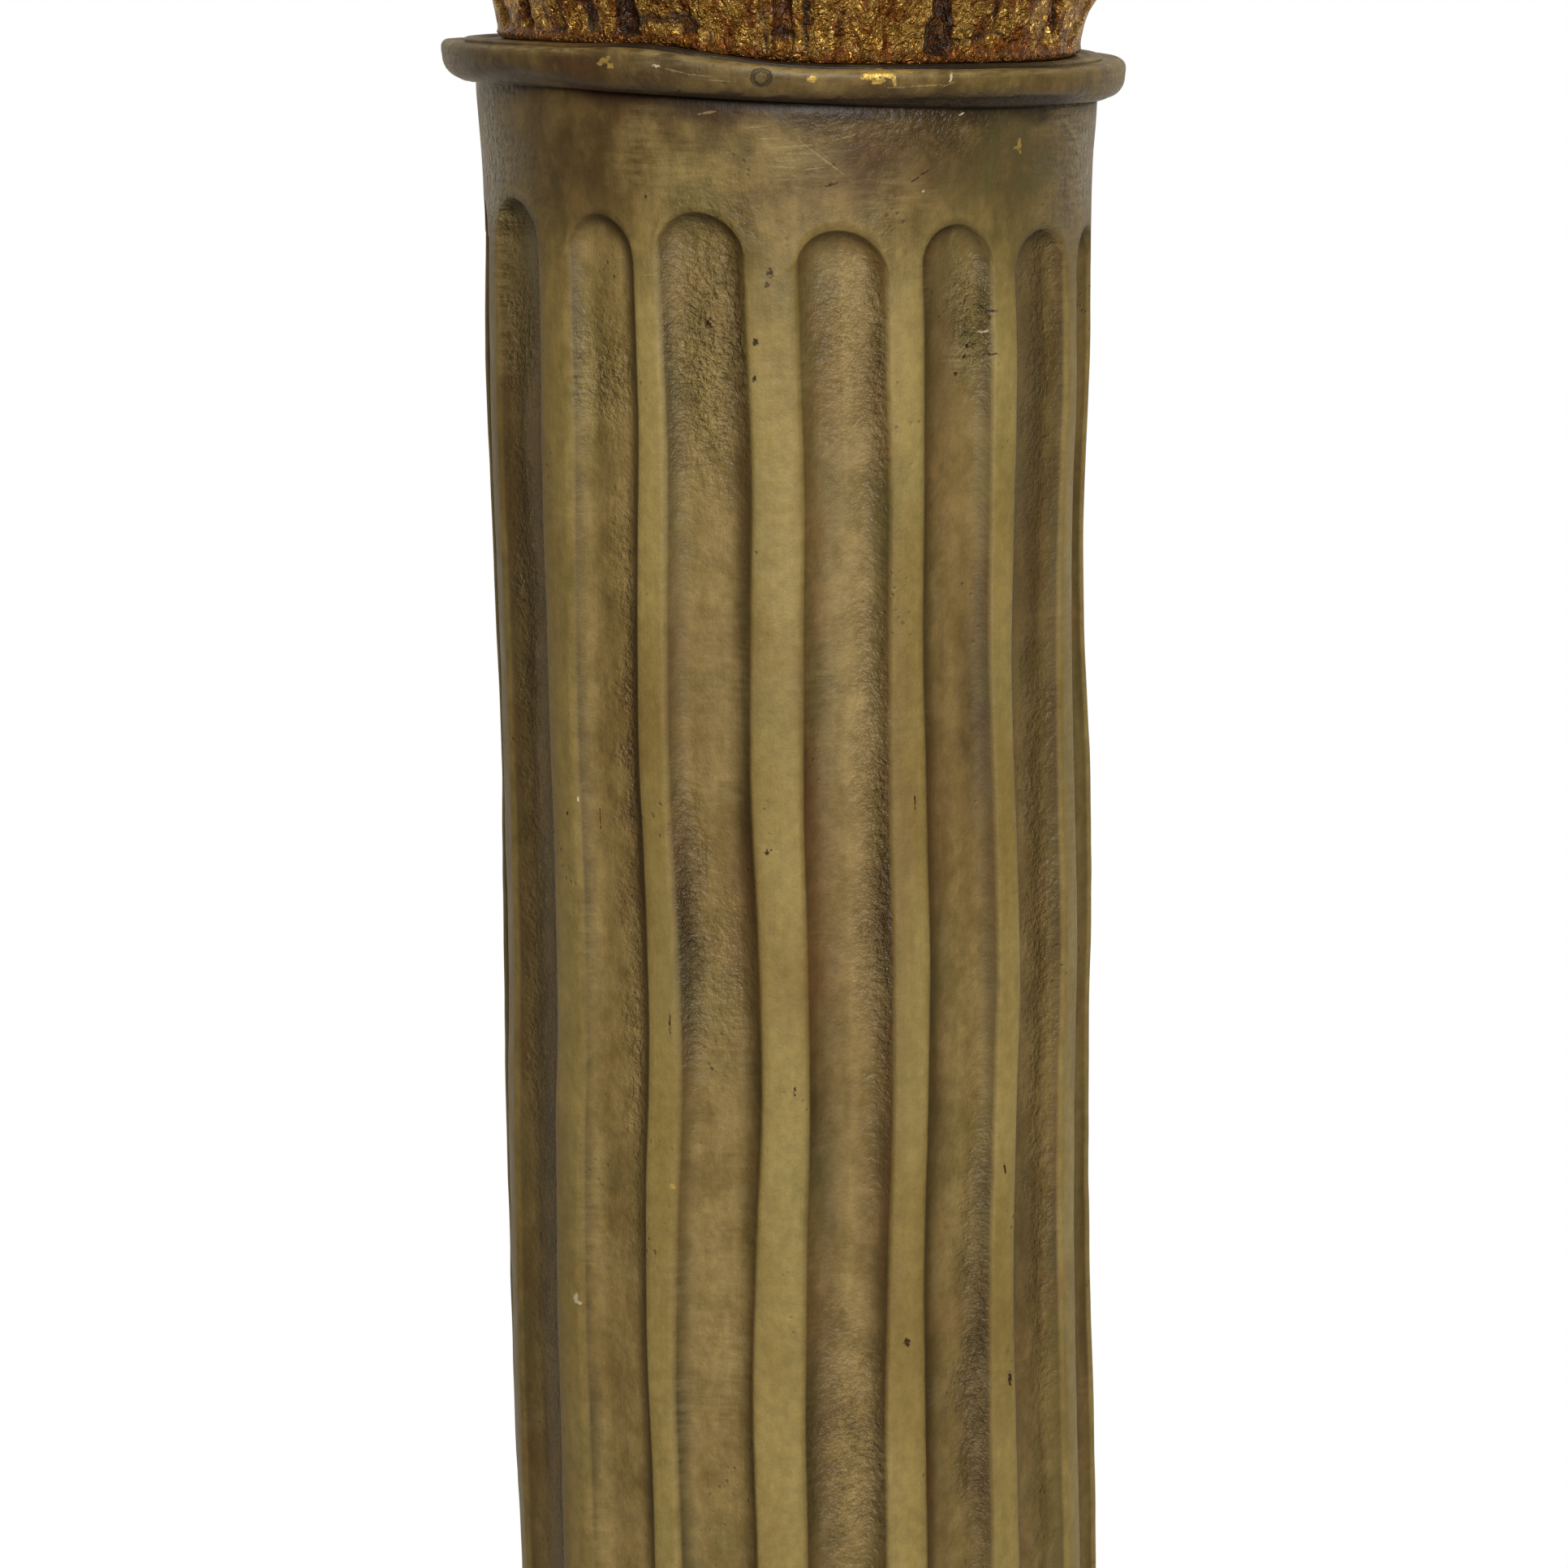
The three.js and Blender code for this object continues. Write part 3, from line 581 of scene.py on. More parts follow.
def base():
    count = 288
    angles = np.arange(count) * 360 / count
    # The factor that turns a circle into a square with slightly rounded corners
    sharpness = 44.0
    square = (np.abs(sin_of(angles)) ** sharpness + np.abs(cos_of(angles)) ** sharpness) ** (-1 / sharpness)
    edge, inset = 3.2, 1.2
    plinth = [(50, 0), (PLINTH_HALF_SIDE - inset - 6, 0)]
    plinth += arc(PLINTH_HALF_SIDE - inset, inset, inset, inset, (-90, -45, 0))
    plinth += [(PLINTH_HALF_SIDE, height) for height in np.linspace(4, PLINTH_HEIGHT - edge - 1, 12)]
    plinth += arc(PLINTH_HALF_SIDE - edge, PLINTH_HEIGHT - edge, edge, edge, (0, 22, 45, 68, 90))
    rows = [polar(angles, half * square, height) for half, height in plinth]
    section = base_section()
    inner = section[0][0] + 1
    for t in np.linspace(0, 1, 12)[1:]:
        rows.append(polar(angles, lerp((PLINTH_HALF_SIDE - edge - 1) * square, inner, t), PLINTH_HEIGHT))
    rows += [polar(angles, radius, height) for radius, height in section]
    rows = np.array(rows)
    heights = rows[..., 2]
    free = smoothstep(heights, 2, 8) * (1 - smoothstep(heights, BASE_HEIGHT - 3, BASE_HEIGHT))
    lumps = 0.30 * noise(rows, 40, 21) + 0.12 * noise(rows, 15, 22) + 0.06 * noise(rows, 6, 23)
    inward = np.minimum(lumps - 0.35, 0)
    outward = rows[..., :2] / np.maximum(np.linalg.norm(rows[..., :2], axis=-1, keepdims=True), 1)
    on_plinth = heights <= PLINTH_HEIGHT
    push = np.where(on_plinth, inward, lumps) * free
    rows[..., :2] += outward * push[..., None]
    flat_top = on_plinth & (heights > PLINTH_HEIGHT - 0.01)
    rows[..., 2] += np.where(flat_top, lumps * 0.6, 0)
    points, faces = stacked_loops(rows)
    hollow = PLINTH_HEIGHT + LOWER_ROLL_HEIGHT + STEP_HEIGHT
    groove = smoothstep(heights, hollow - 5, hollow) * (1 - smoothstep(heights, hollow + 15, hollow + 21))
    foot = smoothstep(heights, PLINTH_HEIGHT - 0.5, PLINTH_HEIGHT + 0.5) * (
        1 - smoothstep(heights, PLINTH_HEIGHT + 1.5, PLINTH_HEIGHT + 7))
    corner = smoothstep(np.abs(sin_of(2 * angles)), 0.985, 1.0) * (heights < PLINTH_HEIGHT)
    raised = smoothstep(np.abs(rows[..., 2] - (PLINTH_HEIGHT + LOWER_ROLL_HEIGHT / 2)), 12, 4)
    worn = 0.45 * raised + corner
    values = finish_values(rows, np.broadcast_to(angles, heights.shape), 0.25 * groove, worn)
    values["wall"] = np.maximum(0.8 * groove, 0.9 * foot)
    values["dark"] = np.maximum(values["dark"], 0.4 * groove)
    return mesh("patinated_base", points, faces, values)


# Capital

def curve_through(stops, count):
    """A smooth curve through the rows of stops, at count places."""
    stops = np.asarray(stops, float)
    padded = np.vstack([2 * stops[0] - stops[1], stops, 2 * stops[-1] - stops[-2]])
    place = np.linspace(0, len(stops) - 1 - 1e-9, count)
    i = place.astype(int)
    t = (place - i)[:, None]
    p0, p1, p2, p3 = padded[i], padded[i + 1], padded[i + 2], padded[i + 3]
    return 0.5 * (2 * p1 + (p2 - p0) * t + (2 * p0 - 5 * p1 + 4 * p2 - p3) * t ** 2
                  + (3 * p1 - p0 - 3 * p2 + p3) * t ** 3)


def foot_lift(angle, height):
    """The capital's foot follows the ring, and the lift dies out upwards."""
    lift = ring_lift(angle) * (WAIST_RADIUS / RING_RADIUS) + lip_sway(angle)
    return lift * (1 - smoothstep(height - RING_TOP, 4, 40))


def bell():
    section = curve_through([
        (WAIST_RADIUS + 0.5, PIECE_GAP), (WAIST_RADIUS + 1.8, 2), (WAIST_RADIUS, 4.5),
        (WAIST_RADIUS - 1.5, 12), (WAIST_RADIUS + 2, 95), (WAIST_RADIUS + 19, 168),
    ], 60)
    angle = np.arange(180) * 2.0
    rows = []
    for radius, above in section:
        share = 1 - smoothstep(above, 4, 40)
        lift = ring_lift(angle) * radius / RING_RADIUS + lip_sway(angle)
        rows.append(polar(angle, radius, RING_TOP + above + share * lift))
    return stacked_loops(rows)


def leaf(angle, stops, relief, lobes, lift):
    """A leaf that rises from the bell and curls over. Its stops are (radius, height, half width, keel)."""
    steps = 70
    radius, height, half, keel = curve_through(stops, steps).T[..., None]
    s = np.linspace(0, 1, steps)[:, None]
    along_r, along_h = np.gradient(radius[:, 0]), np.gradient(height[:, 0])
    length = np.hypot(along_r, along_h)
    outward, upward = (along_h / length)[:, None], (-along_r / length)[:, None]
    u = np.linspace(-1, 1, 41)[None, :]
    side = np.abs(u)
    lobe = lobes * (s ** 0.9) - 0.55 * side
    cut = np.abs(np.cos(math.pi * lobe)) ** 5
    tooth = np.abs(np.cos(3 * math.pi * lobe)) ** 2
    spread = 1 - (0.34 * cut + 0.06 * tooth) * side ** 2.2 * smoothstep(s, 0.08, 0.25)
    folds = 0.2 + 0.8 * np.sin(math.pi * np.clip(side, 0, 1)) ** 1.3 + 0.25 * (1 - side) ** 3
    veins = (0.6 - np.abs(np.cos(math.pi * lobe)) ** 2.5) * smoothstep(side, 0.12, 0.45)
    rib = 0.75 * np.exp(-(u / 0.075) ** 2) - 0.55 * np.exp(-((side - 0.19) / 0.07) ** 2)
    rolled = 0.5 * np.exp(-((side - 0.93) / 0.08) ** 2) * smoothstep(s, 0.5, 0.9)
    front = relief * (folds + 0.95 * veins + rib * (1 - 0.4 * s) + rolled)
    back = -keel * (1 - side ** 2) ** 0.8 - 2.4

    def place(offset):
        r = radius + outward * offset
        z = height + upward * offset
        turned = angle + np.degrees(u * half * spread / radius)
        return polar(turned, r, z + lift(turned, z))

    loops = np.concatenate([place(front), place(back)[:, ::-1]], axis=1)
    return stacked_loops(loops)


def lower_leaves():
    def flared(above):
        return WAIST_RADIUS - 1 + LEAF_FLARE * (above - 4.5)

    shells = []
    for i in range(LOWER_LEAVES):
        tip = 56 + 2 * sin_of(97 * i)
        stops = [
            (flared(3.5), RING_TOP + 3.5, 18.5, 5), (flared(38), RING_TOP + 38, 21.5, 12),
            (flared(50) + 2.5, RING_TOP + tip - 5, 18, 8), (flared(56) + 8, RING_TOP + tip, 13, 6),
            (flared(56) + 12.5, RING_TOP + tip - 5, 7, 4.5),
        ]
        shells.append(leaf(360 * (i + 0.5) / LOWER_LEAVES, stops, 2.2, 4, foot_lift))
    return shells


def upper_leaves():
    stops = [
        (WAIST_RADIUS + 4, RING_TOP + 30, 21, 8), (WAIST_RADIUS + 7, RING_TOP + 62, 25, 11),
        (WAIST_RADIUS + 10, RING_TOP + 92, 25, 13), (WAIST_RADIUS + 16, RING_TOP + 110, 22, 10),
        (WAIST_RADIUS + 25, RING_TOP + 116, 16, 7), (WAIST_RADIUS + 32, RING_TOP + 109, 8, 5),
    ]
    return [leaf(360 * i / UPPER_LEAVES, stops, 2.6, 5, lambda turned, z: 0) for i in range(UPPER_LEAVES)]


def on_corner(angle, across, radius, height):
    """Points in a corner's own frame: across the corner, out from the axis and up."""
    across, radius, height = np.broadcast_arrays(across, radius, height)
    x = across * cos_of(angle) + radius * sin_of(angle)
    y = across * sin_of(angle) - radius * cos_of(angle)
    return np.stack([x, y, height], axis=-1).astype(float)


def scroll_band(angle):
    """The band of a corner scroll: a channelled stalk that leaves the bell and winds inwards."""
    stalk = []
    reach = SCROLL_REACH - SCROLL_RADIUS * 0.82
    for t in (0, 0.35, 0.7):
        height = lerp(RING_TOP + 88, SCROLL_HEIGHT + 8, t ** 0.85)
        stalk.append((lerp(WAIST_RADIUS + 6, reach, t ** 1.4), height, 4.2))
    spiral = []
    steps = 16
    for i in range(steps + 1):
        turn = 145 - 360 * 1.5 * i / steps
        radius = lerp(SCROLL_RADIUS - 3, 4.0, i / steps)
        spiral.append((SCROLL_REACH + radius * cos_of(turn), SCROLL_HEIGHT + radius * sin_of(turn),
                       lerp(3.2, 1.8, i / steps)))
    path = curve_through(stalk + spiral, 130)
    dx, dy = np.gradient(path[:, 0]), np.gradient(path[:, 1])
    length = np.hypot(dx, dy)
    side_x, side_y = (-dy / length)[:, None], (dx / length)[:, None]
    across = np.concatenate([np.linspace(-1, 1, 15), np.linspace(1, -1, 15)])[None, :]
    face = np.repeat([1.0, -1.0], 15)[None, :]
    width = 10.5 * np.linspace(1.0, 0.9, len(path))[:, None]
    hollow = 1 - 0.42 * (1 - np.abs(across) ** 3) * (face > 0)
    offset = path[:, 2:3] * face * hollow * (1 - 0.35 * np.abs(across) ** 12)
    radius = path[:, 0:1] + side_x * offset
    height = path[:, 1:2] + side_y * offset
    return stacked_loops(on_corner(angle, across * width, radius, height))


def scroll_web(angle):
    """The thinner web that fills the scroll and joins it to the bell and the abacus."""
    outline = [
        (WAIST_RADIUS - 10, RING_TOP + 88), (WAIST_RADIUS + 8, RING_TOP + 92),
        (SCROLL_REACH - SCROLL_RADIUS, SCROLL_HEIGHT - 3),
    ]
    radius = SCROLL_RADIUS - 2.5
    outline += arc(SCROLL_REACH, SCROLL_HEIGHT, radius, radius, np.linspace(190, 440, 26))
    outline += [(SCROLL_REACH + 6, ABACUS_BOTTOM + 3), (WAIST_RADIUS - 10, ABACUS_BOTTOM + 3)]
    outline = np.array(outline)
    rows = [on_corner(angle, across, outline[:, 0], outline[:, 1]) for across in (6.5, -6.5)]
    return stacked_loops(rows)


def scroll_eye(angle):
    """The button in the middle of a scroll, on both of its sides."""
    turn = np.arange(24) * 15.0
    one_side = [(10.4, 1.2), (10.0, 3.0), (8.6, 4.4), (6, 5)]
    other_side = [(-across, radius) for across, radius in reversed(one_side)]
    rows = []
    for across, radius in one_side + other_side:
        height = SCROLL_HEIGHT + radius * sin_of(turn)
        rows.append(on_corner(angle, across, SCROLL_REACH + radius * cos_of(turn), height))
    return stacked_loops(rows)


def abacus_loop(margin, height):
    half = ABACUS_HALF_SIDE - margin
    reach = ABACUS_HALF_SIDE - ABACUS_CORNER - margin * 0.4
    x = np.linspace(-reach, reach, 40)
    depth = half - ABACUS_HOLLOW * (1 - (x / reach) ** 2)
    return np.concatenate([
        np.stack([x * cos_of(turn) + depth * sin_of(turn), x * sin_of(turn) - depth * cos_of(turn),
                  np.full_like(x, height)], axis=-1)
        for turn in (0, 90, 180, 270)
    ])


def abacus():
    """The abacus: a hollow moulding under a plain band with a rounded lip."""
    below = [(60, 0), (8.6, 0), (8, 0.8), (7.4, 3.4)]
    rows = [abacus_loop(margin, ABACUS_BOTTOM + height) for margin, height in below]
    for t in np.linspace(0, 1, 7):
        rows.append(abacus_loop(7.6 * (1 - t) ** 1.6 + 0.9, ABACUS_BOTTOM + 4 + 9.4 * t))
    rows += [abacus_loop(2.6, ABACUS_BOTTOM + 14.2), abacus_loop(2.6, ABACUS_BOTTOM + 16)]
    bottom = ABACUS_BOTTOM + 16.4
    thickness = COLUMN_HEIGHT - bottom
    lip = 2.5
    for margin, height in arc(lip, bottom + thickness / 2, -lip, thickness / 2, np.linspace(-80, 90, 9)):
        rows.append(abacus_loop(margin, height))
    rows.append(abacus_loop(60, COLUMN_HEIGHT))
    return stacked_loops(rows)


def flower(angle):
    """A five-petalled flower in the middle of one side of the abacus."""
    turn = np.arange(80) * 4.5
    middle = ABACUS_BOTTOM + 16
    petal = np.abs(cos_of(2.5 * turn)) ** 0.55
    rows = []
    section = [
        (14, -8, 1), (14, -1, 1), (14.2, 1.2, 1), (13, 2.8, 1), (10, 2.4, 0.7), (7, 1.6, 0.35),
        (5.0, 1.8, 0), (4.8, 4.6, 0), (3.4, 6.4, 0), (1.4, 7, 0),
    ]
    for radius, out, share in section:
        reach = radius * (1 - 0.3 * share * (1 - petal))
        ridge = 1.6 * share * (petal - 0.4) * (out > 0)
        depth = ABACUS_HALF_SIDE - ABACUS_HOLLOW + out + ridge
        height = middle + reach * sin_of(turn)
        rows.append(on_corner(angle, reach * cos_of(turn), depth, height))
    return stacked_loops(rows)


def smoothed(points, edges):
    """Points moved halfway to the middle of their neighbours."""
    here = edges.T.ravel()
    there = edges.T[::-1].ravel()
    total = np.stack([np.bincount(here, points[there, k], len(points)) for k in range(3)], axis=-1)
    return 0.5 * points + 0.5 * total / np.bincount(here)[:, None]


VOXEL = 1.3
CAPITAL_TRIANGLES = 192000

# The capital's foot has dark upright recesses at these angles, as (angle, half width, depth)
RECESSES = [
    (-67, 1.3, 0.8), (-38, 1.2, 0.7), (-29, 2.6, 1.5), (-13.5, 0.8, 0.6), (-4, 0.8, 0.7), (3.8, 1.2, 0.7),
    (11.3, 0.7, 0.5), (29.5, 2.2, 1.6), (41.3, 0.9, 0.5), (54.3, 1.2, 0.8),
]

# Dark crevices that run along the foot, as (angle, half angle, height over the ring, half height, depth)
CREVICES = [
    (-21, 8, 7.5, 1.8, 1.0), (-3, 5, 6, 1.4, 0.5), (36, 11, 6.5, 1.1, 0.7), (6, 7, 12.5, 1.3, 0.4),
    (-44, 6, 6, 1.2, 0.5),
]


def capital():
    shells = [bell()] + lower_leaves() + upper_leaves() + [abacus()]
    for angle in (45, 135, 225, 315):
        shells += [scroll_band(angle), scroll_web(angle), scroll_eye(angle)]
    shells += [flower(angle) for angle in (0, 90, 180, 270)]
    points, faces, start = [], [], 0
    for shell_points, shell_faces in shells:
        points.append(shell_points)
        faces += [tuple(start + i for i in face) for face in shell_faces]
        start += len(shell_points)
    piece = mesh("gilded_capital", np.concatenate(points), faces)
    apply_modifier(piece, "REMESH", mode="VOXEL", voxel_size=VOXEL * MM, use_smooth_shade=True)
    keep_largest_part(piece.data)
    crumple(piece)
    triangles = sum(len(p.vertices) - 2 for p in piece.data.polygons)
    if triangles > CAPITAL_TRIANGLES:
        apply_modifier(piece, "DECIMATE", ratio=CAPITAL_TRIANGLES / triangles)
    piece.data.polygons.foreach_set("use_smooth", [True] * len(piece.data.polygons))
    return piece


def keep_largest_part(data):
    """Drops the specks that remeshing leaves loose, a few faces each."""
    a, b = numbers(data.edges, "vertices", 2, np.int64).T
    label = np.arange(len(data.vertices))
    while np.any(label[a] != label[b]):
        low = np.minimum(label[a], label[b])
        np.minimum.at(label, label[a], low)
        np.minimum.at(label, label[b], low)
        label = label[label]
    loose = label != np.bincount(label).argmax()
    form = bmesh.new()
    form.from_mesh(data)
    bmesh.ops.delete(form, geom=[vertex for vertex in form.verts if loose[vertex.index]], context="VERTS")
    form.to_mesh(data)
    form.free()


def apply_modifier(piece, kind, **settings):
    modifier = piece.modifiers.new(kind.lower(), kind)
    for key, value in settings.items():
        setattr(modifier, key, value)
    bpy.context.view_layer.objects.active = piece
    with bpy.context.temp_override(object=piece, active_object=piece, selected_objects=[piece]):
        bpy.ops.object.modifier_apply(modifier=modifier.name)


def hidden_share(data, points, normals, reach, rays=9):
    """How much of what each point faces is closed off by the piece itself within a reach, from 0 to 1."""
    tree = BVHTree.FromPolygons(
        (points * MM).tolist(), [tuple(polygon.vertices) for polygon in data.polygons])
    golden = math.pi * (3 - math.sqrt(5))
    helper = np.where(np.abs(normals[:, 2:3]) < 0.9, [[0.0, 0.0, 1.0]], [[1.0, 0.0, 0.0]])
    side = np.cross(normals, helper)
    side /= np.linalg.norm(side, axis=1, keepdims=True)
    other = np.cross(normals, side)
    starts = ((points + 0.6 * normals) * MM).tolist()
    blocked = np.zeros(len(points))
    for k in range(rays):
        rise = math.sqrt(1 - (k + 0.5) / rays)
        flat = math.sqrt(1 - rise * rise)
        ways = rise * normals + flat * (math.cos(golden * k) * side + math.sin(golden * k) * other)
        for i, (start, way) in enumerate(zip(starts, ways.tolist())):
            hit = tree.ray_cast(start, way, reach * MM)[3]
            if hit is not None:
                blocked[i] += 1 - 0.6 * hit / (reach * MM)
    return blocked / rays


def crumple(piece):
    """Gives the remeshed capital its crumpled leaf, its dark recesses and the values its finish reads."""
    data = piece.data
    normals = numbers(data.vertices, "normal", 3)
    edges = numbers(data.edges, "vertices", 2, np.int64)
    points = smoothed(numbers(data.vertices, "co", 3) / MM, edges)
    angle = np.degrees(np.arctan2(points[:, 0], -points[:, 1]))
    above = points[:, 2] - RING_TOP - foot_lift(angle, points[:, 2])
    foot = smoothstep(above, 1.5, 4) * (1 - smoothstep(above, 22, 34))
    groove = np.zeros(len(points))
    wander = 1.8 * noise(points, 9, 31) + 0.9 * noise(points, 3.2, 37)
    for at, half, depth in RECESSES:
        groove = np.maximum(groove, depth * np.exp(-((angle + wander - at) / half) ** 2))
    groove *= foot * smoothstep(noise(points, 6.5, 36, (1, 1, 1.4)), -0.75, 0.35)
    for at, half, level, half_height, depth in CREVICES:
        around = (angle - at + 3 * wander) / half
        upwards = (above - level + 1.2 * wander) / half_height
        groove = np.maximum(groove, depth * np.exp(-(around ** 2 + upwards ** 2)))
    top = smoothstep(points[:, 2], COLUMN_HEIGHT - 3, COLUMN_HEIGHT - 0.5) * (normals[:, 2] > 0.9)
    free = (1 - top) * smoothstep(above, -0.2, 1.2)
    free *= 1 - 0.6 * smoothstep(points[:, 2], ABACUS_BOTTOM - 4, ABACUS_BOTTOM)
    crease = 1 - 2 * np.abs(noise(points, 6.5, 32)) ** 0.8
    folds = noise(points, 4.6, 35, (1, 1, 2.2)) * (1 - smoothstep(above, 40, 70))
    lumps = 0.26 * crease + 0.14 * noise(points, 3.1, 33) + 0.25 * noise(points, 15, 34) + 0.3 * folds
    push = (lumps - 0.2) * free - groove
    moved = points + normals * push[:, None]
    left, right = smoothstep(-sin_of(angle), 0.4, 0.95), smoothstep(sin_of(angle), 0.6, 1.0)
    inwards = 3.8 * left * (1 - smoothstep(above, 20, 60)) + 1.0 * right * (1 - smoothstep(above, 4, 12))
    inwards -= 1.4 * right * smoothstep(above, 9, 20) * (1 - smoothstep(above, 50, 90))
    outwards = points[:, :2] / np.maximum(np.linalg.norm(points[:, :2], axis=1, keepdims=True), 1)
    moved[:, :2] -= outwards * inwards[:, None]
    moved[:, 2] = np.minimum(moved[:, 2], COLUMN_HEIGHT)
    data.vertices.foreach_set("co", (moved * MM).ravel())
    hidden = hidden_share(data, moved, normals, reach=26)
    write_values(data, {"hidden": hidden, "groove": groove, "above": above})
    data.update()


# Materials

def rgb(red, green, blue):
    """A colour from its screen values, as the linear values that a shader takes."""
    def linear(value):
        value /= 255
        return value / 12.92 if value <= 0.04045 else ((value + 0.055) / 1.055) ** 2.4
    return (linear(red), linear(green), linear(blue), 1)


class Nodes:
    """The nodes of a material or of the world, with short calls for the kinds used here."""

    def __init__(self, owner):
        owner.use_nodes = True
        self.tree = owner.node_tree
        self.tree.nodes.clear()

    def add(self, kind, **settings):
        node = self.tree.nodes.new(kind)
        for key, value in settings.items():
            setattr(node, key, value)
        return node

    def put(self, socket, value):
        """Links another node's output to a socket, or gives it a value. None leaves it as it is."""
        if isinstance(value, bpy.types.NodeSocket):
            self.tree.links.new(value, socket)
        elif value is not None:
            socket.default_value = value

    def math(self, operation, a, b=None, clamp=False):
        node = self.add("ShaderNodeMath", operation=operation, use_clamp=clamp)
        self.put(node.inputs[0], a)
        self.put(node.inputs[1], b)
        return node.outputs[0]

    def times(self, a, b, clamp=False):
        return self.math("MULTIPLY", a, b, clamp)

    def plus(self, a, b):
        return self.math("ADD", a, b)

    def minus(self, a, b):
        return self.math("SUBTRACT", a, b)

    def ramp(self, value, low, high, start=0.0, end=1.0):
        node = self.add("ShaderNodeMapRange", interpolation_type="SMOOTHSTEP")
        for socket, content in zip(node.inputs, (value, low, high, start, end)):
            self.put(socket, content)
        return node.outputs[0]

    def parts(self, vector):
        """The x, y and z of a vector."""
        node = self.add("ShaderNodeSeparateXYZ")
        self.put(node.inputs[0], vector)
        return node.outputs


class Shader(Nodes):
    """A material's nodes. Lengths are in millimetres."""

    def __init__(self, name):
        self.material = bpy.data.materials.new(name)
        super().__init__(self.material)
        self.output = self.add("ShaderNodeOutputMaterial")
        scale = self.add("ShaderNodeVectorMath", operation="SCALE")
        self.put(scale.inputs[0], self.add("ShaderNodeTexCoord").outputs["Object"])
        scale.inputs["Scale"].default_value = 1 / MM
        self.place = scale.outputs[0]

    def value(self, name):
        """A value that the mesh stores at its points."""
        return self.add("ShaderNodeAttribute", attribute_name=name).outputs["Fac"]

    def vector(self, operation, a, b=None):
        node = self.add("ShaderNodeVectorMath", operation=operation)
        self.put(node.inputs[0], a)
        self.put(node.inputs[1], b)
        return node.outputs["Value"] if operation in ("LENGTH", "DOT_PRODUCT") else node.outputs[0]

    def noise(self, size, stretch=(1, 1, 1), detail=3.0, roughness=0.55, offset=0.0, distortion=0.0):
        node = self.add("ShaderNodeTexNoise")
        scaled = self.vector("DIVIDE", self.place, tuple(size * s for s in stretch))
        shifted = self.vector("ADD", scaled, (offset, 2 * offset, -offset))
        self.put(node.inputs["Vector"], shifted)
        node.inputs["Scale"].default_value = 1
        node.inputs["Detail"].default_value = detail
        node.inputs["Roughness"].default_value = roughness
        node.inputs["Distortion"].default_value = distortion
        return node.outputs["Fac"]

    def cells(self, size):
        """The distance from the middle of the nearest of scattered cells, as a share of their size."""
        node = self.add("ShaderNodeTexVoronoi", feature="F1")
        self.put(node.inputs["Vector"], self.vector("DIVIDE", self.place, (size,) * 3))
        node.inputs["Scale"].default_value = 1
        return node.outputs["Distance"]

    def mix(self, factor, a, b, blend="MIX"):
        first_colour, second_colour, mixed_colour = 6, 7, 2
        node = self.add("ShaderNodeMix", data_type="RGBA", blend_type=blend)
        self.put(node.inputs["Factor"], factor)
        self.put(node.inputs[first_colour], a)
        self.put(node.inputs[second_colour], b)
        return node.outputs[mixed_colour]

    def bump(self, height):
        """A bump from a height in millimetres."""
        node = self.add("ShaderNodeBump")
        node.inputs["Strength"].default_value = 1
        node.inputs["Distance"].default_value = MM
        self.put(node.inputs["Height"], height)
        return node.outputs[0]

    def surface(self, colour, roughness, normal, metallic=0.0, specular=0.5):
        node = self.add("ShaderNodeBsdfPrincipled")
        self.put(node.inputs["Base Color"], colour)
        self.put(node.inputs["Roughness"], roughness)
        self.put(node.inputs["Metallic"], metallic)
        self.put(node.inputs["Normal"], normal)
        self.put(node.inputs["Specular IOR Level"], specular)
        self.tree.links.new(node.outputs[0], self.output.inputs["Surface"])
        return self.material


# Marks on the finish, as (angle, height, width, height of the mark, tilt, strength)
GOLD_MARKS = [
    (-29.6, 898.3, 1.7, 0.7, 20, 1), (-28.6, 896.9, 0.9, 0.8, 0, 1), (-30.4, 897.4, 0.8, 0.5, 0, 1),
    (4.3, 893.1, 1.1, 1.0, 45, 1), (14.0, 893.6, 2.6, 1.2, 10, 1), (16.4, 893.9, 2.0, 1.0, -15, 1),
    (15.0, 892.2, 1.6, 0.8, 10, 1), (17.6, 892.4, 0.6, 1.8, 10, 0.8), (19.6, 894.4, 2.6, 0.35, -5, 0.8),
    (46.8, 873.6, 0.9, 1.5, 5, 0.9), (45.9, 872.8, 0.8, 0.6, 0, 0.9), (47.2, 871.4, 0.4, 0.6, 0, 0.8),
    (-24.8, 593.8, 0.7, 1.0, 30, 0.9),
]
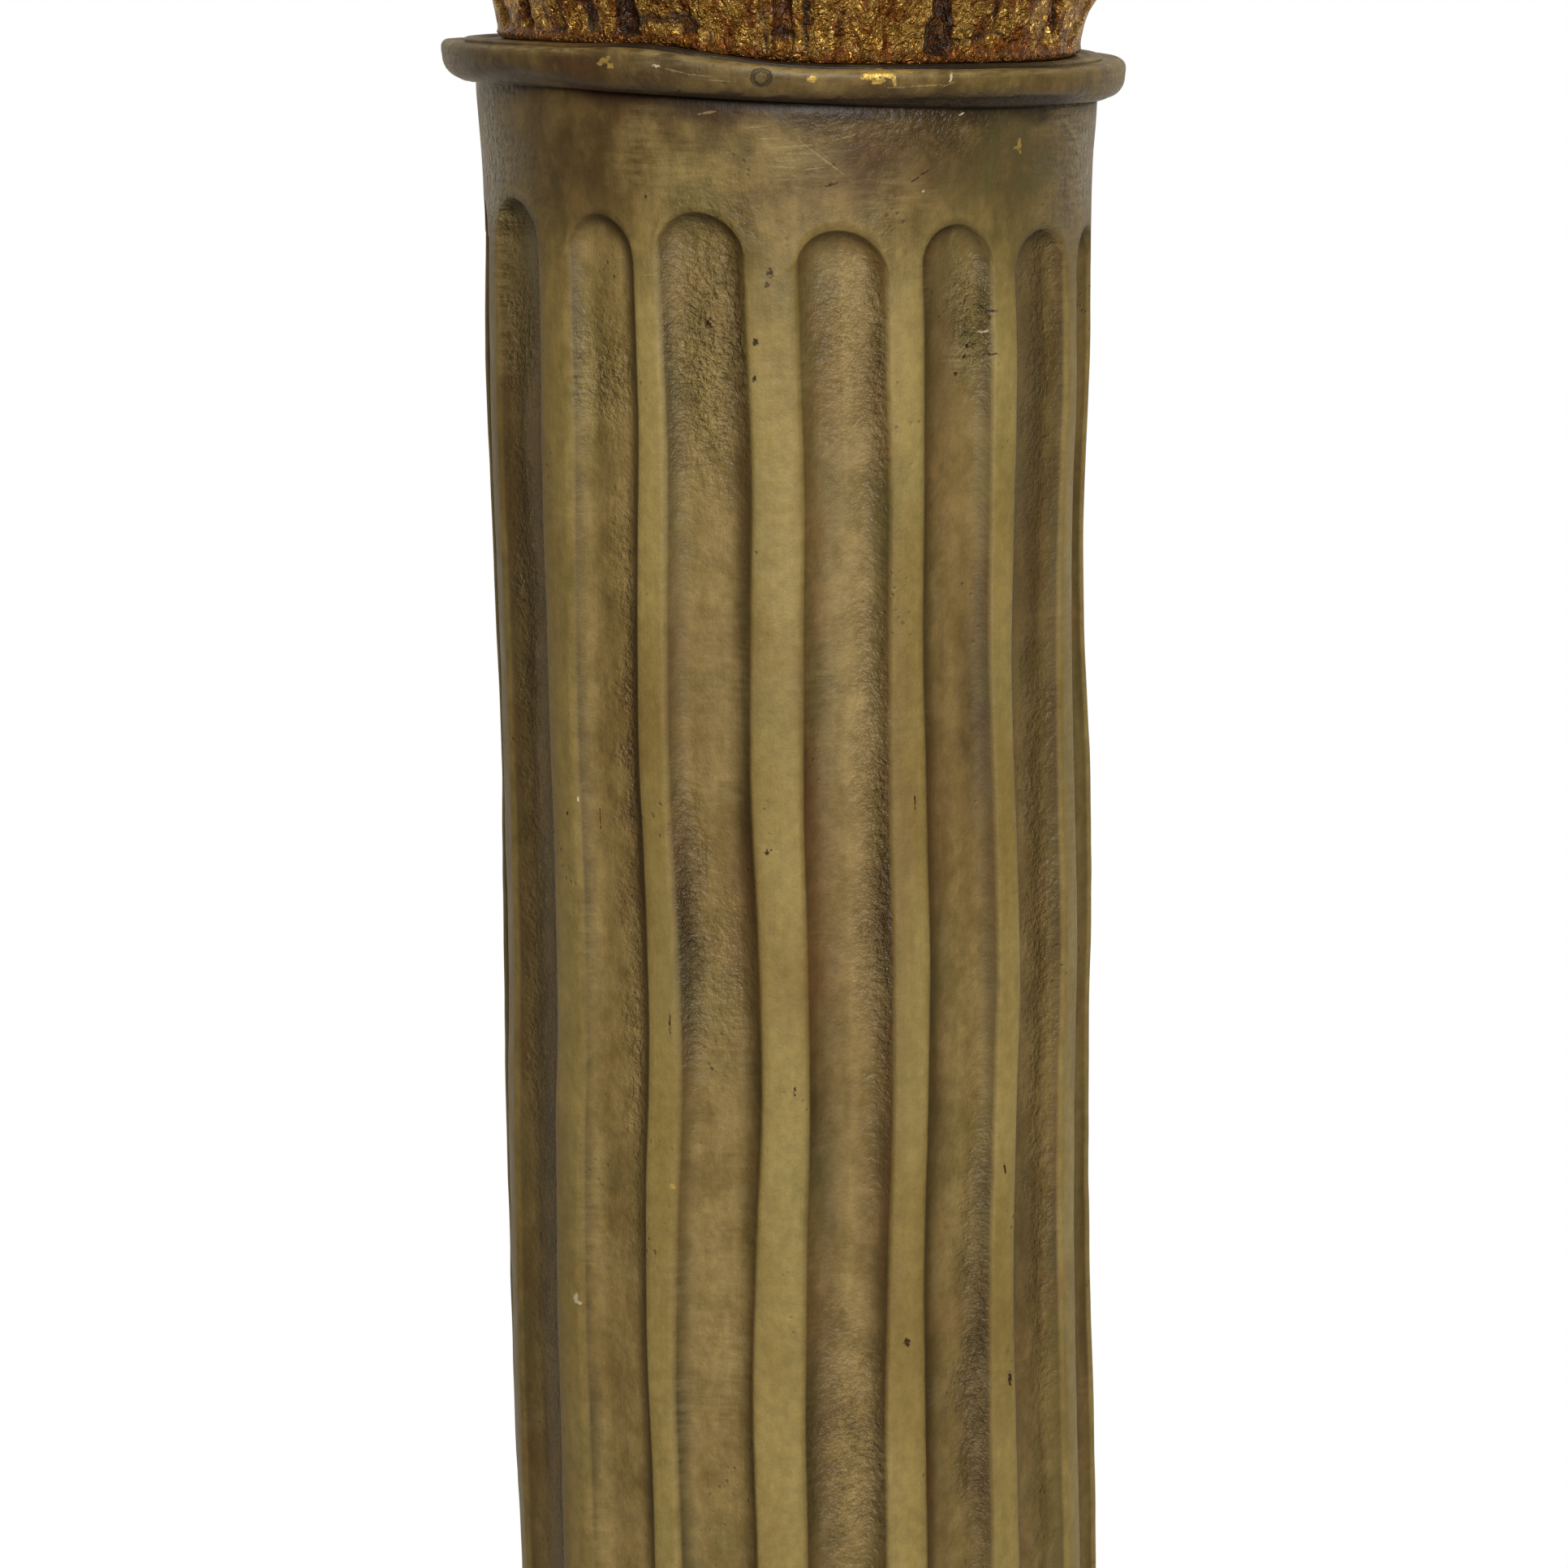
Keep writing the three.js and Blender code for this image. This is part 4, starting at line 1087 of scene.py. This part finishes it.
DARK_MARKS = [
    (-5.8, 824.7, 0.75, 1.1, 0, 1), (-6.2, 814.9, 0.6, 0.9, 0, 1), (-5.4, 688.0, 0.8, 0.9, 0, 0.9),
    (-4.6, 688.6, 0.4, 0.4, 0, 0.8), (-3.0, 842.6, 1.2, 1.6, 10, 0.35), (-3.6, 839.6, 0.8, 1.2, 0, 0.35),
    (-15, 829.2, 1.3, 1.6, 0, 0.6), (42.2, 593.2, 0.5, 1.8, 10, 0.7), (42.9, 532.5, 0.9, 2.2, 0, 0.8),
    (19.7, 549.1, 1.1, 1.6, 0, 0.6), (19.4, 481.3, 0.8, 1.6, 0, 0.6), (-47.8, 694.1, 0.4, 0.5, 0, 0.8),
    (40.4, 829.8, 2.6, 0.4, 4, 0.5), (40.6, 818.4, 2.4, 0.35, 3, 0.5), (36.6, 820.6, 1.0, 0.7, 0, 0.8),
    (34.0, 813.6, 0.8, 0.6, 0, 0.8), (35.9, 818.0, 0.7, 0.6, 0, 0.7), (-8.3, 885.9, 2.0, 1.6, 0, 0.9),
    (24.5, 866.8, 3.6, 0.3, 30, 0.5), (-41.9, 692.5, 0.22, 3.4, 3, 0.7), (-26, 862.8, 0.4, 1.0, 10, 0.6),
    (8.2, 865.4, 2.2, 0.5, 15, 0.5), (-24.5, 640, 0.5, 4.0, 0, 0.3), (22.4, 700, 0.4, 3.0, 0, 0.3),
    (-1.0, 622, 0.5, 1.6, 0, 0.35),
]
PALE_MARKS = [
    (-48.2, 556.6, 0.9, 1.4, -20, 1), (-47.6, 555.4, 1.0, 0.7, 0, 1), (-20.5, 896.8, 1.6, 0.5, -8, 0.4),
    (27.3, 892.6, 0.4, 1.6, -15, 0.6), (32.5, 882.4, 1.3, 0.25, 25, 0.6),
    (39.6, 824.4, 1.4, 0.6, 10, 0.5), (-45.2, 698.6, 0.3, 1.0, 0, 0.6), (25.2, 862.8, 0.5, 0.5, 0, 0.6),
]
SCRATCHES = [
    (6.4, 872.4, 9.5, 0.3, -38, 0.8), (-17.5, 895.6, 3.5, 0.25, -14, 0.6),
    (-13.5, 894.4, 3.5, 0.2, -8, 0.6), (-10.5, 893.0, 3.0, 0.2, -5, 0.6), (23, 890.6, 5.2, 0.25, 0, 0.9),
    (27, 890.8, 2.4, 0.25, 20, 0.8), (18.6, 890.4, 3.2, 0.2, 0, 0.8), (-13.6, 884.4, 2.6, 0.35, 10, 0.8),
    (1.5, 875.5, 6.0, 0.2, 3, 0.9), (3.0, 873.6, 5.0, 0.2, -2, 0.9), (0.5, 871.8, 4.0, 0.2, 4, 0.8),
    (-3.0, 877.6, 4.0, 0.25, 0, 0.8), (-1.0, 870.2, 4.4, 0.2, -3, 0.8), (-25.5, 842, 2.2, 0.25, 2, 0.7),
    (5.0, 869.6, 3.4, 0.2, 6, 0.7), (-33.6, 846, 3.0, 0.2, 3, 0.7), (-5.2, 880.6, 3.6, 0.2, 6, 0.7),
    (10.5, 877.5, 3.2, 0.2, 12, 0.7),
]
ARC_RADIUS = 85.0

# A pin hole in the ring's face, filled and painted over
PIN_ANGLE = -3.6
PIN_HEIGHT = 893.6
PIN_RADIUS = 2.0


def place_on_arc(s):
    """The distance round the column and the height, both in millimetres, as a vector."""
    x, y, z = s.parts(s.place)
    around = s.times(s.math("ARCTAN2", x, s.times(y, -1.0)), ARC_RADIUS)
    joined = s.add("ShaderNodeCombineXYZ")
    s.put(joined.inputs[0], around)
    s.put(joined.inputs[1], z)
    return joined.outputs[0]


FAINTEST = 0.7


def marks(s, rows, arc, ragged):
    """The strongest of a list of marks at each place, from 0 to 1."""
    # The squared distance to the nearest mark, counted in its own size, and at first out of reach
    nearest = 9.0
    for angle, height, width, rise, tilt, strength in rows:
        local = s.add("ShaderNodeMapping", vector_type="TEXTURE")
        s.put(local.inputs["Vector"], arc)
        # A faint mark starts some way off along the unused third axis, so it never comes near
        far = math.sqrt(FAINTEST * (1 - strength))
        local.inputs["Location"].default_value = (math.radians(angle) * ARC_RADIUS, height, far)
        local.inputs["Rotation"].default_value = (0, 0, math.radians(tilt))
        local.inputs["Scale"].default_value = (width, rise, 1)
        square = s.vector("DOT_PRODUCT", local.outputs[0], local.outputs[0])
        nearest = s.math("MINIMUM", nearest, square)
    return s.ramp(s.plus(nearest, ragged), 1.3, 0.4)


def patina():
    s = Shader("olive_patina")
    floor, wall, worn, rough = (s.value(name) for name in ("floor", "wall", "worn", "rough"))
    dark, red, green, pale = (s.value(name) for name in ("dark", "red", "green", "pale"))
    arc = place_on_arc(s)
    broad = s.noise(30, (1, 1, 2.4), 4)
    blotch = s.noise(9, (1, 1, 1.3), 5, 0.62, 3.0)
    mottle = s.noise(3.2, (1, 1, 1.2), 4, 0.65, 7.0)
    streak = s.noise(2.4, (1, 1, 16), 3, 0.6, 11.0)
    grain = s.noise(0.55, (1, 1, 1), 2, 0.6, 5.0)

    neck = s.mix(s.ramp(blotch, 0.35, 0.68), rgb(98, 77, 36), rgb(142, 117, 64))
    fillet = s.mix(s.ramp(broad, 0.35, 0.65), rgb(147, 124, 64), rgb(165, 143, 82))
    colour = s.mix(worn, neck, fillet)
    hollow = s.mix(s.ramp(blotch, 0.33, 0.68), rgb(132, 108, 58), rgb(160, 134, 80))
    colour = s.mix(s.times(floor, 0.9), colour, hollow)
    reddened = s.ramp(s.noise(15, (1, 1, 2.5), 3, 0.5, 19.0), 0.35, 0.65)
    glaze = s.mix(reddened, rgb(62, 50, 20), rgb(84, 56, 26))
    # The wall value is the dark glaze along the flutes, and under the ring a painted shadow of the ring at
    # values of up to 1.6; its highest values take the darkest colour.
    colour = s.mix(s.times(wall, 0.92, clamp=True), colour, glaze)
    colour = s.mix(s.ramp(wall, 0.9, 1.6, 0.0, 0.95), colour, rgb(30, 20, 9))
    ragged_dark = s.times(dark, s.ramp(mottle, 0.25, 0.6, 0.45, 1.15), clamp=True)
    colour = s.mix(s.times(ragged_dark, 0.92), colour, rgb(66, 48, 24))
    reddish = s.times(red, s.ramp(blotch, 0.3, 0.7, 0.1, 0.5), clamp=True)
    colour = s.mix(reddish, colour, rgb(104, 62, 32))
    greenish = s.times(green, s.ramp(blotch, 0.7, 0.3, 0.1, 0.5), clamp=True)
    colour = s.mix(greenish, colour, rgb(104, 102, 56))
    brushed = s.ramp(s.noise(1.6, (7, 7, 1), 4, 0.7, 2.0), 0.38, 0.62)
    pale_share = s.times(pale, brushed, clamp=True)
    colour = s.mix(s.times(pale_share, 0.62), colour, rgb(172, 152, 100))

    light = s.ramp(mottle, 0.25, 0.75, 0.86, 1.12)
    light = s.times(light, s.ramp(streak, 0.3, 0.7, 0.965, 1.03))
    light = s.times(light, s.ramp(grain, 0.2, 0.8, 0.94, 1.06))
    crinkle = s.noise(2.0, (1, 1, 0.95), 3, 0.62, 23.0, 0.2)
    crinkled = s.times(rough, s.ramp(crinkle, 0.28, 0.7))
    pocket = s.times(rough, s.ramp(crinkle, 0.46, 0.36, 0.0, 0.6), clamp=True)
    colour = s.mix(pocket, colour, rgb(46, 34, 16))
    tone = s.add("ShaderNodeCombineXYZ")
    for socket in tone.inputs:
        s.put(socket, light)
    colour = s.mix(1.0, colour, tone.outputs[0], "MULTIPLY")

    pits = s.ramp(s.cells(2.6), 0.26, 0.1, 0.0, 1.0)
    pit_share = s.ramp(s.noise(14, (1, 1, 1.5), 2, 0.5, 31.0), 0.58, 0.7, 0.0, 0.7)
    on_neck = s.times(rough, s.minus(1.0, floor))
    pitted = s.times(pits, s.math("MAXIMUM", pit_share, on_neck), clamp=True)
    colour = s.mix(s.times(pitted, 0.6), colour, rgb(58, 44, 26))

    ragged = s.ramp(s.noise(0.8, (1, 1, 1), 3, 0.6, 13.0), 0.25, 0.75, -0.75, 0.75)
    spots = marks(s, DARK_MARKS, arc, ragged)
    colour = s.mix(spots, colour, rgb(58, 36, 14))
    scratches = marks(s, SCRATCHES, arc, ragged)
    colour = s.mix(s.times(scratches, 0.5), colour, rgb(168, 148, 102))
    chips = marks(s, PALE_MARKS, arc, ragged)
    colour = s.mix(chips, colour, rgb(200, 186, 152))
    pin_place = (math.radians(PIN_ANGLE) * ARC_RADIUS, PIN_HEIGHT, 0)
    pin = s.vector("LENGTH", s.vector("SUBTRACT", arc, pin_place))
    pin = s.plus(pin, s.times(ragged, 0.4))
    outline = s.ramp(s.math("ABSOLUTE", s.minus(pin, PIN_RADIUS)), 0.75, 0.15)
    colour = s.mix(s.times(outline, 0.75), colour, rgb(52, 40, 22))
    colour = s.mix(s.ramp(pin, PIN_RADIUS, 0.4 * PIN_RADIUS, 0.0, 0.3), colour, rgb(86, 76, 44))
    flecks = marks(s, GOLD_MARKS, arc, ragged)
    colour = s.mix(flecks, colour, rgb(214, 178, 92))

    height = s.times(crinkled, 1.1)
    for value, low, high, rise in (
        (mottle, 0.2, 0.8, 0.12), (grain, 0.2, 0.8, 0.025),
        (streak, 0.25, 0.75, 0.05), (blotch, 0.2, 0.8, 0.16),
    ):
        height = s.plus(height, s.ramp(value, low, high, 0.0, rise))
    height = s.minus(height, s.times(pitted, 0.3))
    height = s.minus(height, s.times(outline, 0.4))
    normal = s.bump(height)
    roughness = s.ramp(blotch, 0.3, 0.7, 0.46, 0.58)
    roughness = s.minus(roughness, s.times(rough, 0.33))
    metallic = s.times(flecks, 0.7)
    return s.surface(colour, roughness, normal, metallic, specular=0.42)


def gilding():
    s = Shader("gold_leaf")
    hidden, groove, above = (s.value(name) for name in ("hidden", "groove", "above"))
    near_foot = s.ramp(above, 70, 25)
    patchy = s.noise(5.2, (1, 1, 1.7), 4, 0.6, 2.0, 0.5)
    crumple = s.noise(2.7, (1, 1, 1.2), 3, 0.6, 9.0, 0.8)
    crease = s.math("ABSOLUTE", s.minus(crumple, 0.5))
    fine = s.noise(1.5, (1, 1, 1), 3, 0.6, 4.0, 0.6)
    gold = s.mix(s.ramp(fine, 0.35, 0.65), rgb(186, 132, 52), rgb(236, 190, 98))
    amber = s.mix(s.ramp(crumple, 0.35, 0.65), rgb(104, 54, 14), rgb(164, 100, 34))
    # The darkest colour: dark glaze in the grooves and patches, and painted shade in the recesses.
    dark_glaze_and_shade = s.mix(s.ramp(s.noise(4, (1, 1, 1), 3, 0.6, 14.0), 0.42, 0.6), rgb(36, 22, 11), rgb(82, 47, 19))
    # Near the foot, where the waist lies in shade, the amber and the darkest colour take a larger share:
    # painted shade.
    shade_near_foot = s.ramp(near_foot, 0.0, 1.0, 0.03, 0.085)
    # hidden, the share of what each point faces that the piece itself closes off, turns the gold towards
    # amber here and towards the darkest colour below: painted shade in the recesses.
    thin_leaf_and_shade = s.plus(s.plus(patchy, s.times(hidden, 0.4)), shade_near_foot)
    colour = s.mix(s.ramp(thin_leaf_and_shade, 0.58, 0.66), gold, amber)
    deep = s.plus(s.times(patchy, 0.75), s.times(hidden, 0.85))
    deep = s.plus(s.plus(deep, s.times(groove, 0.75)), shade_near_foot)
    deep = s.ramp(deep, 0.64, 0.9, 0.0, 0.93)
    pocket = s.times(s.ramp(crease, 0.03, 0.0, 0.0, 0.6), s.ramp(near_foot, 0.0, 1.0, 0.15, 1.0))
    colour = s.mix(s.ramp(above, 5.5, 2.5, 0.0, 0.8), colour, amber)
    # Where the darkest colour lies: dark glaze, and painted shade in the recesses and near the foot.
    glaze_and_shade_share = s.math("MAXIMUM", deep, pocket, clamp=True)
    colour = s.mix(glaze_and_shade_share, colour, dark_glaze_and_shade)
    shine = s.ramp(thin_leaf_and_shade, 0.70, 0.58, 0.3, 0.72)
    metallic = s.times(shine, s.ramp(glaze_and_shade_share, 0.8, 0.1))
    roughness = s.ramp(fine, 0.3, 0.7, 0.24, 0.34)
    height = s.plus(s.ramp(crease, 0.0, 0.16, 0.0, 0.9), s.ramp(fine, 0.2, 0.8, 0.0, 0.16))
    height = s.times(height, s.ramp(near_foot, 0.0, 1.0, 0.3, 1.0))
    return s.surface(colour, roughness, s.bump(height), metallic)


FLOOR_RADIUS = 1150
FLOOR_SIDES = 96


def pale_floor():
    """A pale floor that fades into the white background at its rim."""
    s = Shader("pale_floor")
    tone = s.mix(s.ramp(s.noise(120, (1, 1, 1), 3), 0.3, 0.7), rgb(236, 235, 232), rgb(240, 239, 237))
    material = s.surface(tone, 0.8, None)
    shaded = s.output.inputs["Surface"].links[0].from_socket
    fade = s.ramp(s.vector("LENGTH", s.place), 0.3 * FLOOR_RADIUS, FLOOR_RADIUS)
    either = s.add("ShaderNodeMixShader")
    s.put(either.inputs[0], fade)
    s.put(either.inputs[1], shaded)
    s.put(either.inputs[2], s.add("ShaderNodeBsdfTransparent").outputs[0])
    s.put(s.output.inputs["Surface"], either.outputs[0])
    return material


# Camera, as the photo was taken: from in front, a little above the neck ring, looking down along the shaft
PHOTO_SIZE = 1932
FOCAL_PIXELS = 5860.0
SENSOR_WIDTH = 36.0
CAMERA_DISTANCE = 1330.0
CAMERA_HEIGHT = 946.3
CAMERA_PITCH = math.radians(10.89)
CAMERA_ROLL = math.radians(-0.93)
AXIS_SHIFT_PIXELS = 14.0


def camera():
    data = bpy.data.cameras.new("camera")
    data.sensor_width = SENSOR_WIDTH
    data.lens = SENSOR_WIDTH * FOCAL_PIXELS / PHOTO_SIZE
    data.clip_start = 0.01
    data.clip_end = 50
    yaw = math.atan(AXIS_SHIFT_PIXELS / FOCAL_PIXELS)
    ahead = math.cos(CAMERA_PITCH)
    forward = Vector((-math.sin(yaw) * ahead, math.cos(yaw) * ahead, -math.sin(CAMERA_PITCH)))
    level = forward.cross(Vector((0, 0, 1))).normalized()
    upright = level.cross(forward)
    right = level * math.cos(CAMERA_ROLL) + upright * math.sin(CAMERA_ROLL)
    up = upright * math.cos(CAMERA_ROLL) - level * math.sin(CAMERA_ROLL)
    turned = Matrix((right, up, -forward)).transposed().to_4x4()
    view = bpy.data.objects.new("camera", data)
    view.matrix_world = Matrix.Translation(Vector((0, -CAMERA_DISTANCE, CAMERA_HEIGHT)) * MM) @ turned
    bpy.context.scene.collection.objects.link(view)
    bpy.context.scene.camera = view


# Light: one large soft light in front, and a white studio that is brighter behind the column

def key_light(place, target, size, watts):
    data = bpy.data.lights.new("key_light", "AREA")
    data.shape = "DISK"
    data.size = size
    data.energy = watts
    lamp = bpy.data.objects.new("key_light", data)
    lamp.location = place
    lamp.rotation_euler = (Vector(target) - Vector(place)).to_track_quat("-Z", "Y").to_euler()
    bpy.context.scene.collection.objects.link(lamp)


def studio():
    """Surroundings that light the column with a warm glow, but show as plain white."""
    world = bpy.data.worlds.new("studio")
    bpy.context.scene.world = world
    s = Nodes(world)
    backwards = s.parts(s.add("ShaderNodeTexCoord").outputs["Generated"])[1]
    glow = s.add("ShaderNodeBackground")
    s.put(glow.inputs["Color"], (1, 0.91, 0.77, 1))
    s.put(glow.inputs["Strength"], s.ramp(backwards, 0.25, 0.7, 0.1, 0.8))
    seen = s.add("ShaderNodeBackground")
    s.put(seen.inputs["Color"], (1, 1, 1, 1))
    either = s.add("ShaderNodeMixShader")
    for socket, value in zip(either.inputs, (
        s.add("ShaderNodeLightPath").outputs["Is Camera Ray"], glow.outputs[0], seen.outputs[0],
    )):
        s.put(socket, value)
    s.put(s.add("ShaderNodeOutputWorld").inputs["Surface"], either.outputs[0])
    bpy.context.scene.view_settings.view_transform = "Standard"


camera()
key_light(place=(0.34, -2.1, 1.75), target=(0, 0, 0.72), size=1.1, watts=49)
studio()
rim = np.arange(FLOOR_SIDES) * 360 / FLOOR_SIDES
floor = mesh("studio_floor", polar(rim, FLOOR_RADIUS, 0), [tuple(range(FLOOR_SIDES))])
floor.data.materials.append(pale_floor())
patina_finish = patina()
for piece, node, slot, finish in (
    (base(), "base", "patina", patina_finish),
    (shaft(), "shaft", "patina", patina_finish),
    (capital(), "capital", "gilding", gilding()),
):
    piece.data.materials.append(finish)
    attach(piece, "root")
    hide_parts(node)
